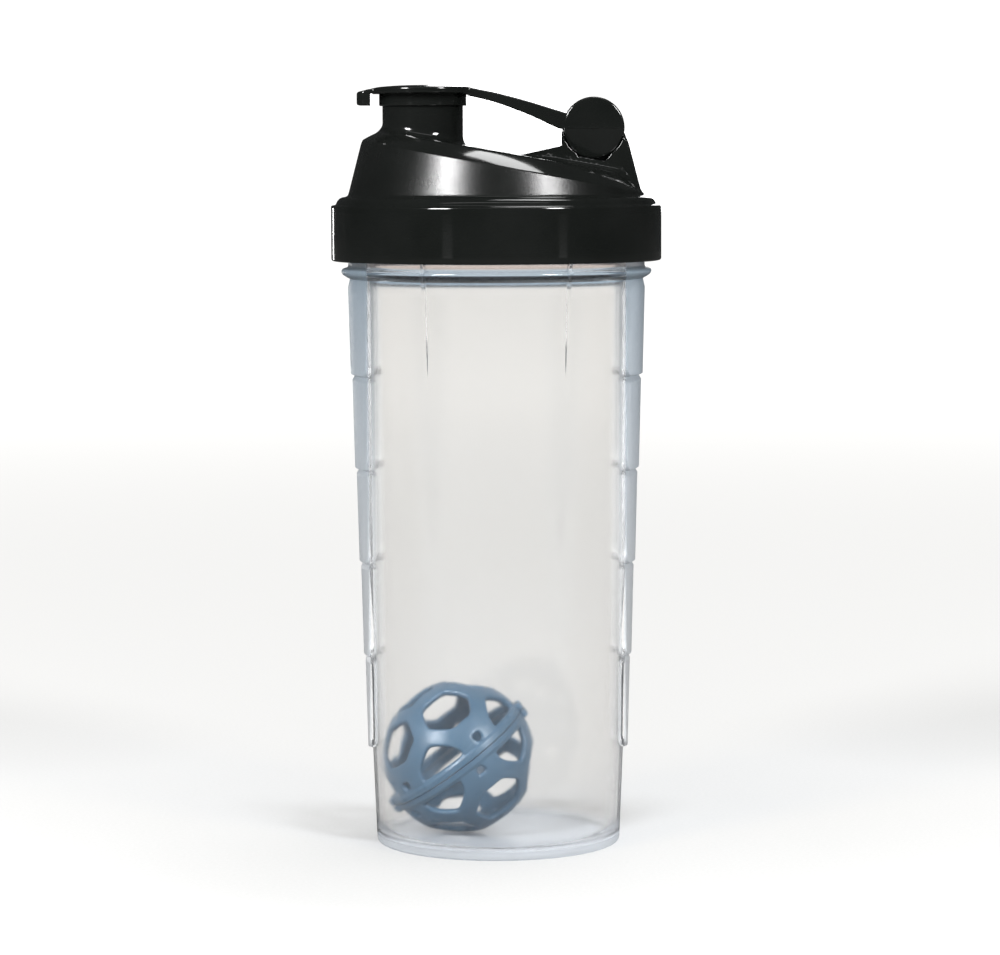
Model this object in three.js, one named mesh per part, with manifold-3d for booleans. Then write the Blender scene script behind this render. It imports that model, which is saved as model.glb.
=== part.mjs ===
// Protein shaker bottle: a tapered cup, a two-start screw lid with a slanted deck and a drinking spout,
// a flip cap on a knuckle hinge, two silicone seals and a loose mixing ball of two clipped halves.
// Millimetres, +Z up. The cup's axis is Z and its foot stands on z = 0.
// The spout is on the -X side and the flip cap's hinge on the +X side.
import * as THREE from "three";
import { mergeVertices } from "three/addons/utils/BufferGeometryUtils.js";
import Module from "manifold-3d";

const wasm = await Module();
wasm.setup();

// ---- driving dimensions ----
const GAP = 0.3; // space left between pieces that touch
const ROUND = 56; // facets round the large turned pieces
const SMALL_ROUND = 32; // facets round the small ones

// cup
const FOOT_R = 36.0; // outer radius of the wall at the foot
const TAPER = 0.0405; // growth of the radius per mm of height
const WALL = 2.0;
const FLOOR_Z = 2.0; // inside floor
const FOOT_RECESS = 0.6; // the middle of the base stands clear of the table
const FOOT_RING = 3.4; // width of the flat ring that the cup stands on
const BEAD_Z = 169.2; // bead ring under the lid
const BEAD_R = 45.6;
const NECK_R = 43.6;
const RIM_Z = 186.0;

// grip pads: stepped tiles on the -X and +X sides
const PAD_COUNT = 5;
const PAD_PITCH = 27.6;
const PAD_LOWEST = 28.6; // bottom of the lowest pad
const PAD_STEP = 1.6; // ledge between one pad and the next
const PAD_PROUD_TOP = 1.0;
const PAD_PROUD_BOTTOM = 1.4;
const PAD_EDGE_X = 37.4; // the pads' upright edges lie at this distance from the YZ plane
const PAD_CORNER = 3.0;

// stacking ribs inside the neck
const RIB_ANGLES = [60, 120, 240, 300];
const RIB_WIDTH = 1.1;
const RIB_DEPTH = 1.2;
const RIB_TOP_Z = 178.0;
const RIB_BOTTOM_Z = 135.0;

// two-start thread
const THREAD_STARTS = 2;
const THREAD_PITCH = 4.0;
const THREAD_LEAD = THREAD_STARTS * THREAD_PITCH;
const THREAD_TURNS = 0.85;
const THREAD_Z = 175.4;
const THREAD_ROOT = 2.0; // width at the root
const THREAD_CREST = 1.0; // width at the crest
const CUP_THREAD_R = 45.2; // crest of the cup's thread
const LID_THREAD_R = 44.2; // crest of the lid's thread

// lid
const SKIRT_R = 48.5;
const SKIRT_BORE_R = 46.2;
const SKIRT_Z = 172.35; // lower edge
const SHOULDER_Z = 188.6; // sharp top corner of the skirt
const SEAT_Z = 188.4; // underside that presses the gasket
const PLUG_R = 41.1; // ring that enters the cup's mouth
const PLUG_BORE_R = 39.4;
const PLUG_Z = 183.6;
const DOME_FOOT_Z = 191.8;
const DOME_FOOT_R = 43.4;
const DOME_BEND_Z = 206.5;
const DOME_BEND_R = 39.6;
const DOME_TOP_Z = 213.0;
const DOME_TOP_R = 36.8;
const LID_WALL = 2.0;
const DECK_SLOPE = 0.18; // the deck falls towards the hinge
const EDGE_X = -39.5; // high corner of the dome's slanted upper edge
const EDGE_Z = 207.3;
const EDGE_R = 41.3; // mean radius of that edge
const EDGE_CENTRE_X = 1.6;
const BEVEL_WIDTH = 6.3; // sloping border between the edge and the flat deck
const BEVEL_HEIGHT = 4.2;
const DECK_DROP = 2.6; // the hollow under the deck lies this much lower

// drinking spout
const SPOUT_X = -21.4;
const SPOUT_R = 11.85;
const SPOUT_BORE_R = 9.6;
const SPOUT_RIM_Z = 219.2;
const FLARE = 1.3; // small flare at the spout's foot

// flip cap and its hinge
const HINGE_X = 28.5;
const HINGE_Z = 211.05;
const DRUM_R = 9.0;
const CAP_WIDTH = 17.0; // width of the arm and of the drum
const SLOT_WIDTH = 7.6; // the lid's knuckle stands in this slot
const KNUCKLE_R = 5.6;
const KNUCKLE_WIDTH = 7.0;
const KNUCKLE_LEG = 8.4;
const TRUNNION_R = 2.3;
const TRUNNION_LENGTH = 2.4; // how far each trunnion stands out of the knuckle
const SOCKET_R = 2.6;
const CHAMFER_DEPTH = 1.4; // the lower half of each cheek leans in by this much
const RELIEF_R = 5.7; // hollow at the bottom of the pocket that the drum turns in
const RELIEF_DROP = 5.0; // its centre is this far below the hinge axis
const BLOCK_WIDTH = 17.6;
const BLOCK_FRONT_X = 19.1;
const BLOCK_FRONT_Z = 205.8;
const BLOCK_TOP_Z = 209.85; // the walls in front of the drum and behind it end here
const RAMP_FOOT_X = 6.2;
const PLATE_R = 15.6; // round plate over the spout
const PLATE_UNDER_Z = 221.0;
const PLATE_TOP_Z = 223.7;
const TAB_TIP_X = -40.4;
const TAB_WIDTH = 15.0;
const SKIRTING_R = 12.8; // short ring of the cap round the spout's rim
const SKIRTING_BORE_R = 12.15;
const SKIRTING_Z = 217.6;
const STOPPER_R = 9.2; // ring that plugs the spout's bore
const STOPPER_BORE_R = 7.4;
const STOPPER_Z = 213.6;

// seals
const LID_GASKET = { inner: 41.5, outer: 45.6, low: RIM_Z + GAP, high: SEAT_Z - GAP };
const SPOUT_SEAL = { inner: 9.6, outer: 11.8, low: SPOUT_RIM_Z + GAP, high: PLATE_UNDER_Z - GAP };

// mixing ball
const BALL_R = 22.7;
const BALL_WALL = 1.8;
const BALL_ROUND = 30; // facets round the ball
const BALL_CENTRE = [-11.8, 0, FLOOR_Z + GAP + BALL_R];
const BALL_TILT = 37.1; // degrees between the ball's own axis and the upright
const BALL_YAW = 2.3; // degrees that the tilt's direction is off the side view
const BALL_RIB = 5.3; // width of the ribs between windows
const BALL_BAND = 2.85; // height of each half's solid band at the seam
const BALL_RIM = 1.6; // height of the raised rim on that band
const BALL_RIM_PROUD = 0.4;
const BALL_UPPER_TURN = 43.8; // how far each half's windows are turned about the ball's axis
const BALL_LOWER_TURN = 29.8;
const CLIP_WIDTH = 6.0;
const CLIP_HEIGHT = 2.4;
const CLIP_REACH = BALL_R + 1.6;
// The windows of one half, ring by ring: how many, their angle from the pole, their turn about it,
// and how much narrower or wider than their neighbours they are.
const BALL_WINDOWS = [
  { count: 1, polar: 0, turn: 0, widen: 0.2 },
  { count: 5, polar: 43.9, turn: 0, widen: 0 },
  { count: 5, polar: 69.4, turn: 0, widen: -2.2 },
  { count: 5, polar: 79.0, turn: 36, widen: -0.8 },
];

// ---- materials ----
const finish = (color, roughness, extra = {}) =>
  new THREE.MeshStandardMaterial({ color, roughness, metalness: 0, ...extra });
const CLEAR_PP = finish(0xdde5ea, 0.2, { transparent: true, opacity: 0.45 });
const BLACK_PP = finish(0x1d1f1d, 0.3);
const SILICONE = finish(0xd9d9d4, 0.6);
const BLUE_PP = finish(0x6d8ba3, 0.4, { transparent: true, opacity: 0.85 });

// ---- solids ----
const rad = THREE.MathUtils.degToRad;
const v2 = (x, y) => new THREE.Vector2(x, y);
const coneR = (z) => FOOT_R + TAPER * z;
const edgeZ = (x) => EDGE_Z - DECK_SLOPE * (x - EDGE_X);
const deckZ = (x) => edgeZ(x) + BEVEL_HEIGHT;

function solid(geometry) {
  const bare = geometry.index ? geometry.toNonIndexed() : geometry.clone();
  bare.deleteAttribute("normal");
  bare.deleteAttribute("uv");
  const merged = mergeVertices(bare, 1e-4);
  return new wasm.Manifold(
    new wasm.Mesh({
      numProp: 3,
      vertProperties: merged.attributes.position.array,
      triVerts: new Uint32Array(merged.index.array),
    }),
  );
}

function piece(name, made, material) {
  const mesh = made.getMesh();
  const geometry = new THREE.BufferGeometry();
  geometry.setAttribute("position", new THREE.BufferAttribute(mesh.vertProperties, 3));
  geometry.setIndex(new THREE.BufferAttribute(mesh.triVerts, 1));
  const flat = geometry.toNonIndexed();
  flat.computeVertexNormals();
  const out = new THREE.Mesh(flat, material);
  out.name = name;
  return out;
}

// A turned solid. The outline lists (radius, z) from the bottom, outside first, and closes on itself.
function turned(outline, facets = ROUND) {
  const points = outline.map(([r, z]) => v2(r, z));
  const onAxis = points[0].x === 0 && points[points.length - 1].x === 0;
  if (!onAxis) points.push(points[0].clone());
  return solid(new THREE.LatheGeometry(points, facets).rotateX(Math.PI / 2));
}

const ring = (inner, outer, low, high, facets = ROUND) =>
  turned([[inner, low], [outer, low], [outer, high], [inner, high]], facets);

const rod = (radius, low, high, facets = SMALL_ROUND) =>
  turned([[0, low], [radius, low], [radius, high], [0, high]], facets);

// A cylinder along Y, centred on the hinge axis.
const barrel = (radius, width, drop = 0, facets = SMALL_ROUND) =>
  solid(
    new THREE.CylinderGeometry(radius, radius, width, facets).translate(HINGE_X, 0, HINGE_Z - drop),
  );

const box = (x0, x1, y0, y1, z0, z1) =>
  solid(
    new THREE.BoxGeometry(x1 - x0, y1 - y0, z1 - z0).translate(
      (x0 + x1) / 2,
      (y0 + y1) / 2,
      (z0 + z1) / 2,
    ),
  );

// A side view drawn in X and Z, given a width along Y.
function sideExtrude(shape, width) {
  const geometry = new THREE.ExtrudeGeometry(shape, {
    depth: width,
    bevelEnabled: false,
    curveSegments: 10,
  });
  return solid(geometry.rotateX(Math.PI / 2).translate(0, width / 2, 0));
}

// A plan view drawn in X and Y, given a height along Z.
function planExtrude(shape, low, high) {
  const geometry = new THREE.ExtrudeGeometry(shape, {
    depth: high - low,
    bevelEnabled: false,
    curveSegments: 12,
  });
  return solid(geometry.translate(0, 0, low));
}

const union = (...parts) => parts.reduce((sum, part) => sum.add(part));

// A frustum whose top and bottom are slanted like the deck, at heights above the slanted edge.
function slantedFrustum(x, topR, bottomR, top, bottom, facets) {
  const frustum = new THREE.CylinderGeometry(topR, bottomR, top - bottom, facets);
  frustum.rotateX(Math.PI / 2).translate(x, 0, (top + bottom) / 2);
  const at = frustum.attributes.position;
  for (let i = 0; i < at.count; i += 1) {
    at.setZ(i, at.getZ(i) + edgeZ(at.getX(i)));
  }
  return solid(frustum);
}

// Everything under the deck and its sloping border, lowered by a drop.
function underDeck(drop = 0) {
  const depth = 60;
  const topR = EDGE_R - BEVEL_WIDTH;
  const bottomR = topR + ((depth + BEVEL_HEIGHT) * BEVEL_WIDTH) / BEVEL_HEIGHT;
  const top = BEVEL_HEIGHT - drop;
  return slantedFrustum(EDGE_CENTRE_X, topR, bottomR, top, top - depth - BEVEL_HEIGHT, ROUND);
}

// One thread start. A bar of thread section is drawn along the turn angle and wrapped into a helix.
function threadStart(rootR, crestR, lift, start) {
  const inwards = Math.sign(rootR - crestR);
  const section = new THREE.Shape([
    v2(rootR + 0.5 * inwards, -THREAD_ROOT / 2),
    v2(rootR, -THREAD_ROOT / 2),
    v2(crestR, -THREAD_CREST / 2),
    v2(crestR, THREAD_CREST / 2),
    v2(rootR, THREAD_ROOT / 2),
    v2(rootR + 0.5 * inwards, THREAD_ROOT / 2),
  ]);
  const steps = Math.round(ROUND * 0.7 * THREAD_TURNS);
  const bar = new THREE.ExtrudeGeometry(section, { depth: 1, steps, bevelEnabled: false });
  const at = bar.attributes.position;
  for (let i = 0; i < at.count; i += 1) {
    const along = at.getZ(i);
    const fade = Math.min(1, Math.min(along, 1 - along) * 10);
    const height = at.getX(i) - rootR;
    const radius = height * inwards < 0 ? rootR + height * (0.1 + 0.9 * fade) : at.getX(i);
    const turn = along * THREAD_TURNS;
    const angle = 2 * Math.PI * (turn + start / THREAD_STARTS);
    const z = THREAD_Z + lift + THREAD_LEAD * turn + at.getY(i);
    at.setXYZ(i, radius * Math.cos(angle), radius * Math.sin(angle), z);
  }
  const helix = solid(bar);
  return helix.volume() < 0 ? solid(flipped(bar)) : helix;
}

function flipped(geometry) {
  const out = geometry.index ? geometry.toNonIndexed() : geometry.clone();
  const at = out.attributes.position;
  for (let i = 0; i < at.count; i += 3) {
    const a = [at.getX(i), at.getY(i), at.getZ(i)];
    at.setXYZ(i, at.getX(i + 1), at.getY(i + 1), at.getZ(i + 1));
    at.setXYZ(i + 1, ...a);
  }
  return out;
}

// ---- cup ----
function gripPad(index) {
  const low = PAD_LOWEST + PAD_PITCH * index;
  const high = Math.min(low + PAD_PITCH - PAD_STEP, BEAD_Z - 2);
  const rTop = coneR(high) + PAD_PROUD_TOP;
  const rBottom = coneR(low) + PAD_PROUD_BOTTOM;
  const band = turned([
    [coneR(low) - 1, low],
    [rBottom - 0.4, low],
    [rBottom, low + 0.5],
    [rTop, high],
    [coneR(high) - 1, high + PAD_STEP],
  ]);
  const halfTop = Math.sqrt(rTop ** 2 - PAD_EDGE_X ** 2);
  const halfBottom = Math.sqrt(rBottom ** 2 - PAD_EDGE_X ** 2);
  const view = new THREE.Shape();
  view.moveTo(-halfTop, high + PAD_STEP);
  view.lineTo(-halfBottom, low + PAD_CORNER);
  view.quadraticCurveTo(-halfBottom, low - 1, -halfBottom + PAD_CORNER, low - 1);
  view.lineTo(halfBottom - PAD_CORNER, low - 1);
  view.quadraticCurveTo(halfBottom, low - 1, halfBottom, low + PAD_CORNER);
  view.lineTo(halfTop, high + PAD_STEP);
  const outline = new THREE.ExtrudeGeometry(view, { depth: 120, bevelEnabled: false });
  outline.rotateX(Math.PI / 2).rotateZ(Math.PI / 2).translate(-60, 0, 0);
  const pads = band.intersect(solid(outline));
  return pads.subtract(box(-30, 30, -60, 60, low - 5, high + 10));
}

function stackingRib(angle) {
  const top = coneR(RIB_TOP_Z) - WALL;
  const bottom = coneR(RIB_BOTTOM_Z) - WALL;
  const view = new THREE.Shape([
    v2(bottom + 0.5, RIB_BOTTOM_Z),
    v2(top + 0.5, RIB_TOP_Z),
    v2(top - RIB_DEPTH, RIB_TOP_Z - 2),
  ]);
  const blade = new THREE.ExtrudeGeometry(view, { depth: RIB_WIDTH, bevelEnabled: false });
  blade.rotateX(Math.PI / 2).translate(0, RIB_WIDTH / 2, 0).rotateZ(rad(angle));
  return solid(blade);
}

function cup() {
  const neckIn = NECK_R - WALL;
  const body = turned([
    [0, FOOT_RECESS],
    [FOOT_R - FOOT_RING - 0.6, FOOT_RECESS],
    [FOOT_R - FOOT_RING, 0],
    [FOOT_R - 0.9, 0],
    [FOOT_R - 0.2, 0.35],
    [coneR(1.2), 1.2],
    [coneR(BEAD_Z - 1.8), BEAD_Z - 1.8],
    [BEAD_R - 0.3, BEAD_Z - 0.9],
    [BEAD_R, BEAD_Z - 0.2],
    [BEAD_R - 0.5, BEAD_Z + 0.7],
    [NECK_R, BEAD_Z + 1.1],
    [NECK_R, RIM_Z - 0.5],
    [NECK_R - 0.5, RIM_Z],
    [neckIn + 0.3, RIM_Z],
    [neckIn, RIM_Z - 0.4],
    [neckIn, RIM_Z - 8],
    [coneR(BEAD_Z) - WALL, BEAD_Z],
    [coneR(8) - WALL, 8],
    [coneR(4) - WALL - 0.8, 4],
    [coneR(FLOOR_Z) - WALL - 2.6, FLOOR_Z],
    [0, FLOOR_Z],
  ]);
  const pads = Array.from({ length: PAD_COUNT }, (_, index) => gripPad(index));
  const ribs = RIB_ANGLES.map(stackingRib);
  const threads = Array.from({ length: THREAD_STARTS }, (_, start) =>
    threadStart(NECK_R, CUP_THREAD_R, 0, start),
  );
  return piece("cup", union(body, ...pads, ...ribs, ...threads), CLEAR_PP);
}

// ---- lid ----
// A ramp and a block with a round cradle for the flip cap's drum. Its back follows the dome's wall.
function hingeBlock(outside) {
  const low = edgeZ(DOME_FOOT_R);
  const view = new THREE.Shape();
  view.moveTo(RAMP_FOOT_X - 4, low);
  view.lineTo(RAMP_FOOT_X - 4, deckZ(RAMP_FOOT_X) - 2);
  view.lineTo(RAMP_FOOT_X, deckZ(RAMP_FOOT_X));
  view.lineTo(BLOCK_FRONT_X, BLOCK_FRONT_Z);
  view.lineTo(BLOCK_FRONT_X, BLOCK_TOP_Z);
  view.lineTo(SKIRT_R, BLOCK_TOP_Z);
  view.lineTo(SKIRT_R, low);
  const pocket = barrel(DRUM_R + GAP, 60, 0, 48);
  const relief = barrel(RELIEF_R, 60, RELIEF_DROP, 32);
  return sideExtrude(view, BLOCK_WIDTH).intersect(outside).subtract(pocket.add(relief));
}

// The knuckle between the cheeks of the flip cap, with its two trunnions and its leg.
function knuckle() {
  return union(
    barrel(KNUCKLE_R, KNUCKLE_WIDTH),
    barrel(TRUNNION_R, KNUCKLE_WIDTH + 2 * TRUNNION_LENGTH, 0, 20),
    box(
      HINGE_X - KNUCKLE_LEG / 2,
      HINGE_X + KNUCKLE_LEG / 2,
      -KNUCKLE_WIDTH / 2,
      KNUCKLE_WIDTH / 2,
      HINGE_Z - RELIEF_DROP - RELIEF_R - 1,
      HINGE_Z,
    ),
  );
}

function lidShell() {
  const outside = turned([
    [0, SKIRT_Z],
    [SKIRT_R - 0.6, SKIRT_Z],
    [SKIRT_R, SKIRT_Z + 0.6],
    [SKIRT_R, SHOULDER_Z - 0.2],
    [SKIRT_R - 0.2, SHOULDER_Z],
    [SKIRT_R - 1.2, SHOULDER_Z + 0.2],
    [SKIRT_R - 2.0, SHOULDER_Z + 1.7],
    [SKIRT_R - 3.4, SHOULDER_Z + 2.5],
    [DOME_FOOT_R + 0.5, SHOULDER_Z + 2.7],
    [DOME_FOOT_R, DOME_FOOT_Z],
    [DOME_BEND_R, DOME_BEND_Z],
    [DOME_TOP_R, DOME_TOP_Z],
    [0, DOME_TOP_Z],
  ]);
  const inside = turned([
    [0, SKIRT_Z - 1],
    [SKIRT_BORE_R + 0.5, SKIRT_Z - 1],
    [SKIRT_BORE_R + 0.5, SKIRT_Z + 0.4],
    [SKIRT_BORE_R, SKIRT_Z + 0.9],
    [SKIRT_BORE_R, SEAT_Z],
    [0, SEAT_Z],
  ]);
  const hollow = turned([
    [0, PLUG_Z - 1],
    [PLUG_BORE_R, PLUG_Z - 1],
    [PLUG_BORE_R, DOME_FOOT_Z + 4],
    [DOME_BEND_R - LID_WALL, DOME_BEND_Z],
    [DOME_TOP_R - LID_WALL, DOME_TOP_Z],
    [0, DOME_TOP_Z],
  ]).intersect(underDeck(DECK_DROP));
  const plug = ring(PLUG_BORE_R - 1, PLUG_R, PLUG_Z, SEAT_Z + 1);
  const bore = rod(SPOUT_BORE_R, SEAT_Z, SPOUT_RIM_Z + 1).translate([SPOUT_X, 0, 0]);
  const spout = turned(
    [
      [0, SEAT_Z + 6],
      [SPOUT_R, SEAT_Z + 6],
      [SPOUT_R, SPOUT_RIM_Z - 0.3],
      [SPOUT_R - 0.3, SPOUT_RIM_Z],
      [0, SPOUT_RIM_Z],
    ],
    SMALL_ROUND,
  ).translate([SPOUT_X, 0, 0]);
  const flareTop = BEVEL_HEIGHT + FLARE;
  const flareDrop = 4 * FLARE;
  const flare = slantedFrustum(
    SPOUT_X,
    SPOUT_R,
    SPOUT_R + flareDrop,
    flareTop,
    flareTop - flareDrop,
    SMALL_ROUND,
  );
  const shoulder = rod(SKIRT_R + 10, SKIRT_Z - 10, DOME_FOOT_Z, ROUND);
  const dome = outside.intersect(underDeck().add(shoulder)).subtract(inside);
  const top = union(dome, spout, flare, hingeBlock(outside), plug);
  const shell = top.subtract(hollow).subtract(bore).add(knuckle());
  const threads = Array.from({ length: THREAD_STARTS }, (_, start) =>
    threadStart(SKIRT_BORE_R, LID_THREAD_R, THREAD_PITCH / 2, start),
  );
  return piece("lid_shell", union(shell, ...threads), BLACK_PP);
}

// ---- flip cap ----
function capSideView() {
  const view = new THREE.Shape();
  const rise = HINGE_Z + 4.4;
  view.moveTo(TAB_TIP_X + 0.6, SKIRTING_Z + 0.2);
  view.lineTo(TAB_TIP_X, SKIRTING_Z + 0.8);
  view.quadraticCurveTo(TAB_TIP_X - 0.1, 221.6, TAB_TIP_X + 1.6, 221.9);
  view.quadraticCurveTo(-31, PLATE_TOP_Z, SPOUT_X, PLATE_TOP_Z);
  view.bezierCurveTo(-10, PLATE_TOP_Z, -2, 221.9, 9.1, 218.6);
  view.lineTo(HINGE_X - 8.4, rise);
  view.absarc(HINGE_X, HINGE_Z, DRUM_R, Math.PI * 0.83, Math.PI * 1.04, false);
  view.lineTo(BLOCK_FRONT_X, HINGE_Z - 0.7);
  view.bezierCurveTo(9.1, 215.0, 2, 217.8, -7.9, 220.2);
  view.lineTo(-9.2, PLATE_UNDER_Z);
  view.lineTo(-36.4, PLATE_UNDER_Z - 0.6);
  view.lineTo(-36.4, SKIRTING_Z + 0.2);
  return view;
}

function capPlanView() {
  const view = new THREE.Shape();
  const half = CAP_WIDTH / 2;
  const tab = TAB_WIDTH / 2;
  const meetArm = SPOUT_X + Math.sqrt(PLATE_R ** 2 - half ** 2);
  const armAngle = Math.asin(half / PLATE_R);
  const tabAngle = Math.asin(tab / PLATE_R);
  view.moveTo(meetArm, half);
  view.absarc(SPOUT_X, 0, PLATE_R, armAngle, Math.PI - tabAngle, false);
  view.lineTo(TAB_TIP_X + 2, tab - 0.6);
  view.quadraticCurveTo(TAB_TIP_X, tab - 1.2, TAB_TIP_X, tab - 3);
  view.lineTo(TAB_TIP_X, 3 - tab);
  view.quadraticCurveTo(TAB_TIP_X, 1.2 - tab, TAB_TIP_X + 2, 0.6 - tab);
  view.absarc(SPOUT_X, 0, PLATE_R, Math.PI + tabAngle, 2 * Math.PI - armAngle, false);
  view.lineTo(HINGE_X, -half);
  view.lineTo(HINGE_X, half);
  return view;
}

// The lower half of each cheek's outer face leans inwards.
function cheekChamfer(side) {
  const lean = Math.atan(CHAMFER_DEPTH / DRUM_R);
  const wedge = new THREE.BoxGeometry(4 * DRUM_R, 10, 4 * DRUM_R);
  wedge.translate(0, 5, -2 * DRUM_R).rotateX(-lean).translate(0, CAP_WIDTH / 2, 0);
  if (side < 0) wedge.rotateZ(Math.PI);
  wedge.translate(HINGE_X, 0, HINGE_Z);
  return solid(wedge);
}

function flipCap() {
  const arm = sideExtrude(capSideView(), 2 * PLATE_R).intersect(
    planExtrude(capPlanView(), SPOUT_RIM_Z - 12, PLATE_TOP_Z + 1),
  );
  const drum = barrel(DRUM_R, CAP_WIDTH, 0, 48);
  const slot = box(
    HINGE_X - KNUCKLE_R - GAP,
    HINGE_X + 2 * DRUM_R,
    -SLOT_WIDTH / 2,
    SLOT_WIDTH / 2,
    HINGE_Z - 2 * DRUM_R,
    HINGE_Z + 2 * DRUM_R,
  );
  const sockets = barrel(SOCKET_R, KNUCKLE_WIDTH + 2 * TRUNNION_LENGTH + 2 * GAP, 0, 24);
  const skirting = ring(SKIRTING_BORE_R, SKIRTING_R, SKIRTING_Z, PLATE_UNDER_Z + 0.3, SMALL_ROUND);
  const stopper = ring(STOPPER_BORE_R, STOPPER_R, STOPPER_Z, PLATE_UNDER_Z + 0.3, SMALL_ROUND);
  const rings = skirting.add(stopper).translate([SPOUT_X, 0, 0]);
  const roundSeat = rod(SKIRTING_BORE_R, SPOUT_RIM_Z - 6, PLATE_UNDER_Z).translate([SPOUT_X, 0, 0]);
  const made = union(arm.subtract(roundSeat), drum, rings).subtract(slot).subtract(sockets);
  return piece(
    "flip_cap",
    made.subtract(cheekChamfer(1)).subtract(cheekChamfer(-1)),
    BLACK_PP,
  );
}

// ---- seals ----
function seal(name, size, x, facets) {
  const made = ring(size.inner, size.outer, size.low, size.high, facets).translate([x, 0, 0]);
  return piece(name, made, SILICONE);
}

// ---- mixing ball ----
// Each half is made about its own axis, with its pole up and its seam at height 0.
function windowSeeds(turn) {
  return BALL_WINDOWS.flatMap((windows) =>
    Array.from({ length: windows.count }, (_, index) => {
      const angle = rad(turn + windows.turn + (360 / windows.count) * index);
      const polar = rad(windows.polar);
      const out = Math.sin(polar);
      const at = new THREE.Vector3(out * Math.cos(angle), out * Math.sin(angle), Math.cos(polar));
      return { at, widen: windows.widen };
    }),
  );
}

// A window is a block cut back by one plane for each of its neighbours, so even ribs stay between them.
function ballWindow(seed, seeds) {
  const block = solid(new THREE.BoxGeometry(3 * BALL_R, 3 * BALL_R, 3 * BALL_R));
  const others = seeds.filter((other) => other !== seed);
  return others
    .reduce((left, other) => {
      const away = seed.at.clone().sub(other.at);
      const shift = (seed.widen - other.widen) / away.length();
      return left.trimByPlane(away.toArray(), BALL_RIB / 2 - shift);
    }, block)
    .trimByPlane([0, 0, 1], BALL_BAND);
}

function ballHalf(name, turnedOver, turn) {
  const upright = (radius) =>
    solid(new THREE.SphereGeometry(radius, BALL_ROUND, BALL_ROUND / 2).rotateX(Math.PI / 2));
  const shell = upright(BALL_R)
    .subtract(upright(BALL_R - BALL_WALL))
    .trimByPlane([0, 0, 1], GAP / 2);
  const seeds = windowSeeds(turn);
  const cage = seeds.reduce((left, seed) => left.subtract(ballWindow(seed, seeds)), shell);
  const rim = ring(BALL_R - BALL_WALL, BALL_R + BALL_RIM_PROUD, GAP / 2, BALL_RIM, BALL_ROUND);
  const clips = box(
    -CLIP_REACH,
    CLIP_REACH,
    -CLIP_WIDTH / 2,
    CLIP_WIDTH / 2,
    GAP / 2,
    CLIP_HEIGHT,
  ).subtract(rod(BALL_R - BALL_WALL / 2, -1, CLIP_HEIGHT + 1));
  const half = union(cage, rim, clips).rotate([turnedOver ? 180 : 0, 0, 0]);
  const tilted = half.rotate([0, 0, 180]).rotate([0, -BALL_TILT, 0]).rotate([0, 0, BALL_YAW]);
  return piece(name, tilted.translate(BALL_CENTRE), BLUE_PP);
}

// ---- assembly ----
const group = new THREE.Group();
group.add(
  cup(),
  seal("lid_gasket", LID_GASKET, 0, ROUND),
  lidShell(),
  flipCap(),
  seal("spout_seal", SPOUT_SEAL, SPOUT_X, SMALL_ROUND),
  ballHalf("ball_half_upper", false, BALL_UPPER_TURN),
  ballHalf("ball_half_lower", true, -BALL_LOWER_TURN),
);

export default group;
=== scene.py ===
"""A protein shaker bottle: clear cup, black screw lid with a flip cap, and a blue mixing ball."""

import math

import bmesh
import bpy
import numpy as np
from mathutils import Matrix, Vector


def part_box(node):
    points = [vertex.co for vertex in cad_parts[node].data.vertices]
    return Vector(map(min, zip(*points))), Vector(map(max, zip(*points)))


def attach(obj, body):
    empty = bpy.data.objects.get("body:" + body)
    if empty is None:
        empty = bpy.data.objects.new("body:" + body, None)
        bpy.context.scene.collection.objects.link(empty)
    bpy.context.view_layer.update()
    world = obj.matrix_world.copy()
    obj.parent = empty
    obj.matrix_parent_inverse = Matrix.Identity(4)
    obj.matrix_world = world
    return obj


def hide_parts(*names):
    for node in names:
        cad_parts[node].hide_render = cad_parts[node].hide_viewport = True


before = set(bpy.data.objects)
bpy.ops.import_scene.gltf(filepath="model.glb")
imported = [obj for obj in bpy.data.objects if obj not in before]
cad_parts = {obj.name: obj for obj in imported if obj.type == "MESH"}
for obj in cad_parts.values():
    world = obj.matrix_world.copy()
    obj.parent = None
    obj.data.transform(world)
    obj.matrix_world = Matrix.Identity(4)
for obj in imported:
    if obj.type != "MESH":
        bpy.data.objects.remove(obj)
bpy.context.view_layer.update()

MM = 0.001  # every size below is in millimetres

# ---- driving dimensions, the same as the part's ----
GAP = 0.3
FOOT_R = 36.0
TAPER = 0.0405
WALL = 2.0
FLOOR_Z = 2.0
FOOT_RECESS = 0.6
BEAD_Z = 169.2
BEAD_R = 45.6
NECK_R = 43.6
RIM_Z = 186.0
INNER_NECK_R = NECK_R - WALL
PAD_COUNT = 5
PAD_PITCH = 27.6
PAD_LOWEST = 28.6
PAD_STEP = 1.6
PAD_PROUD_TOP = 1.0
PAD_PROUD_BOTTOM = 1.4
PAD_EDGE_X = 37.4
PAD_CORNER = 3.0
PAD_TOP_Z = BEAD_Z - 2
PAD_FLANK = 0.5  # width of the slope from the wall to a pad
RIB_ANGLE = 60.0
RIB_WIDTH = 1.1
RIB_DEPTH = 1.2
RIB_TOP_Z = 178.0
RIB_BOTTOM_Z = 135.0
THREAD_STARTS = 2
THREAD_PITCH = 4.0
THREAD_TURNS = 0.85
THREAD_Z = 175.4
THREAD_ROOT = 2.0
THREAD_CREST = 1.0
THREAD_FADE = 12  # the ends of a thread fade within one part in this many of a turn
THREAD_ROW = 0.35  # height between two rows of points on a threaded wall
CUP_THREAD_R = 45.2
LID_THREAD_R = 44.2

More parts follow.
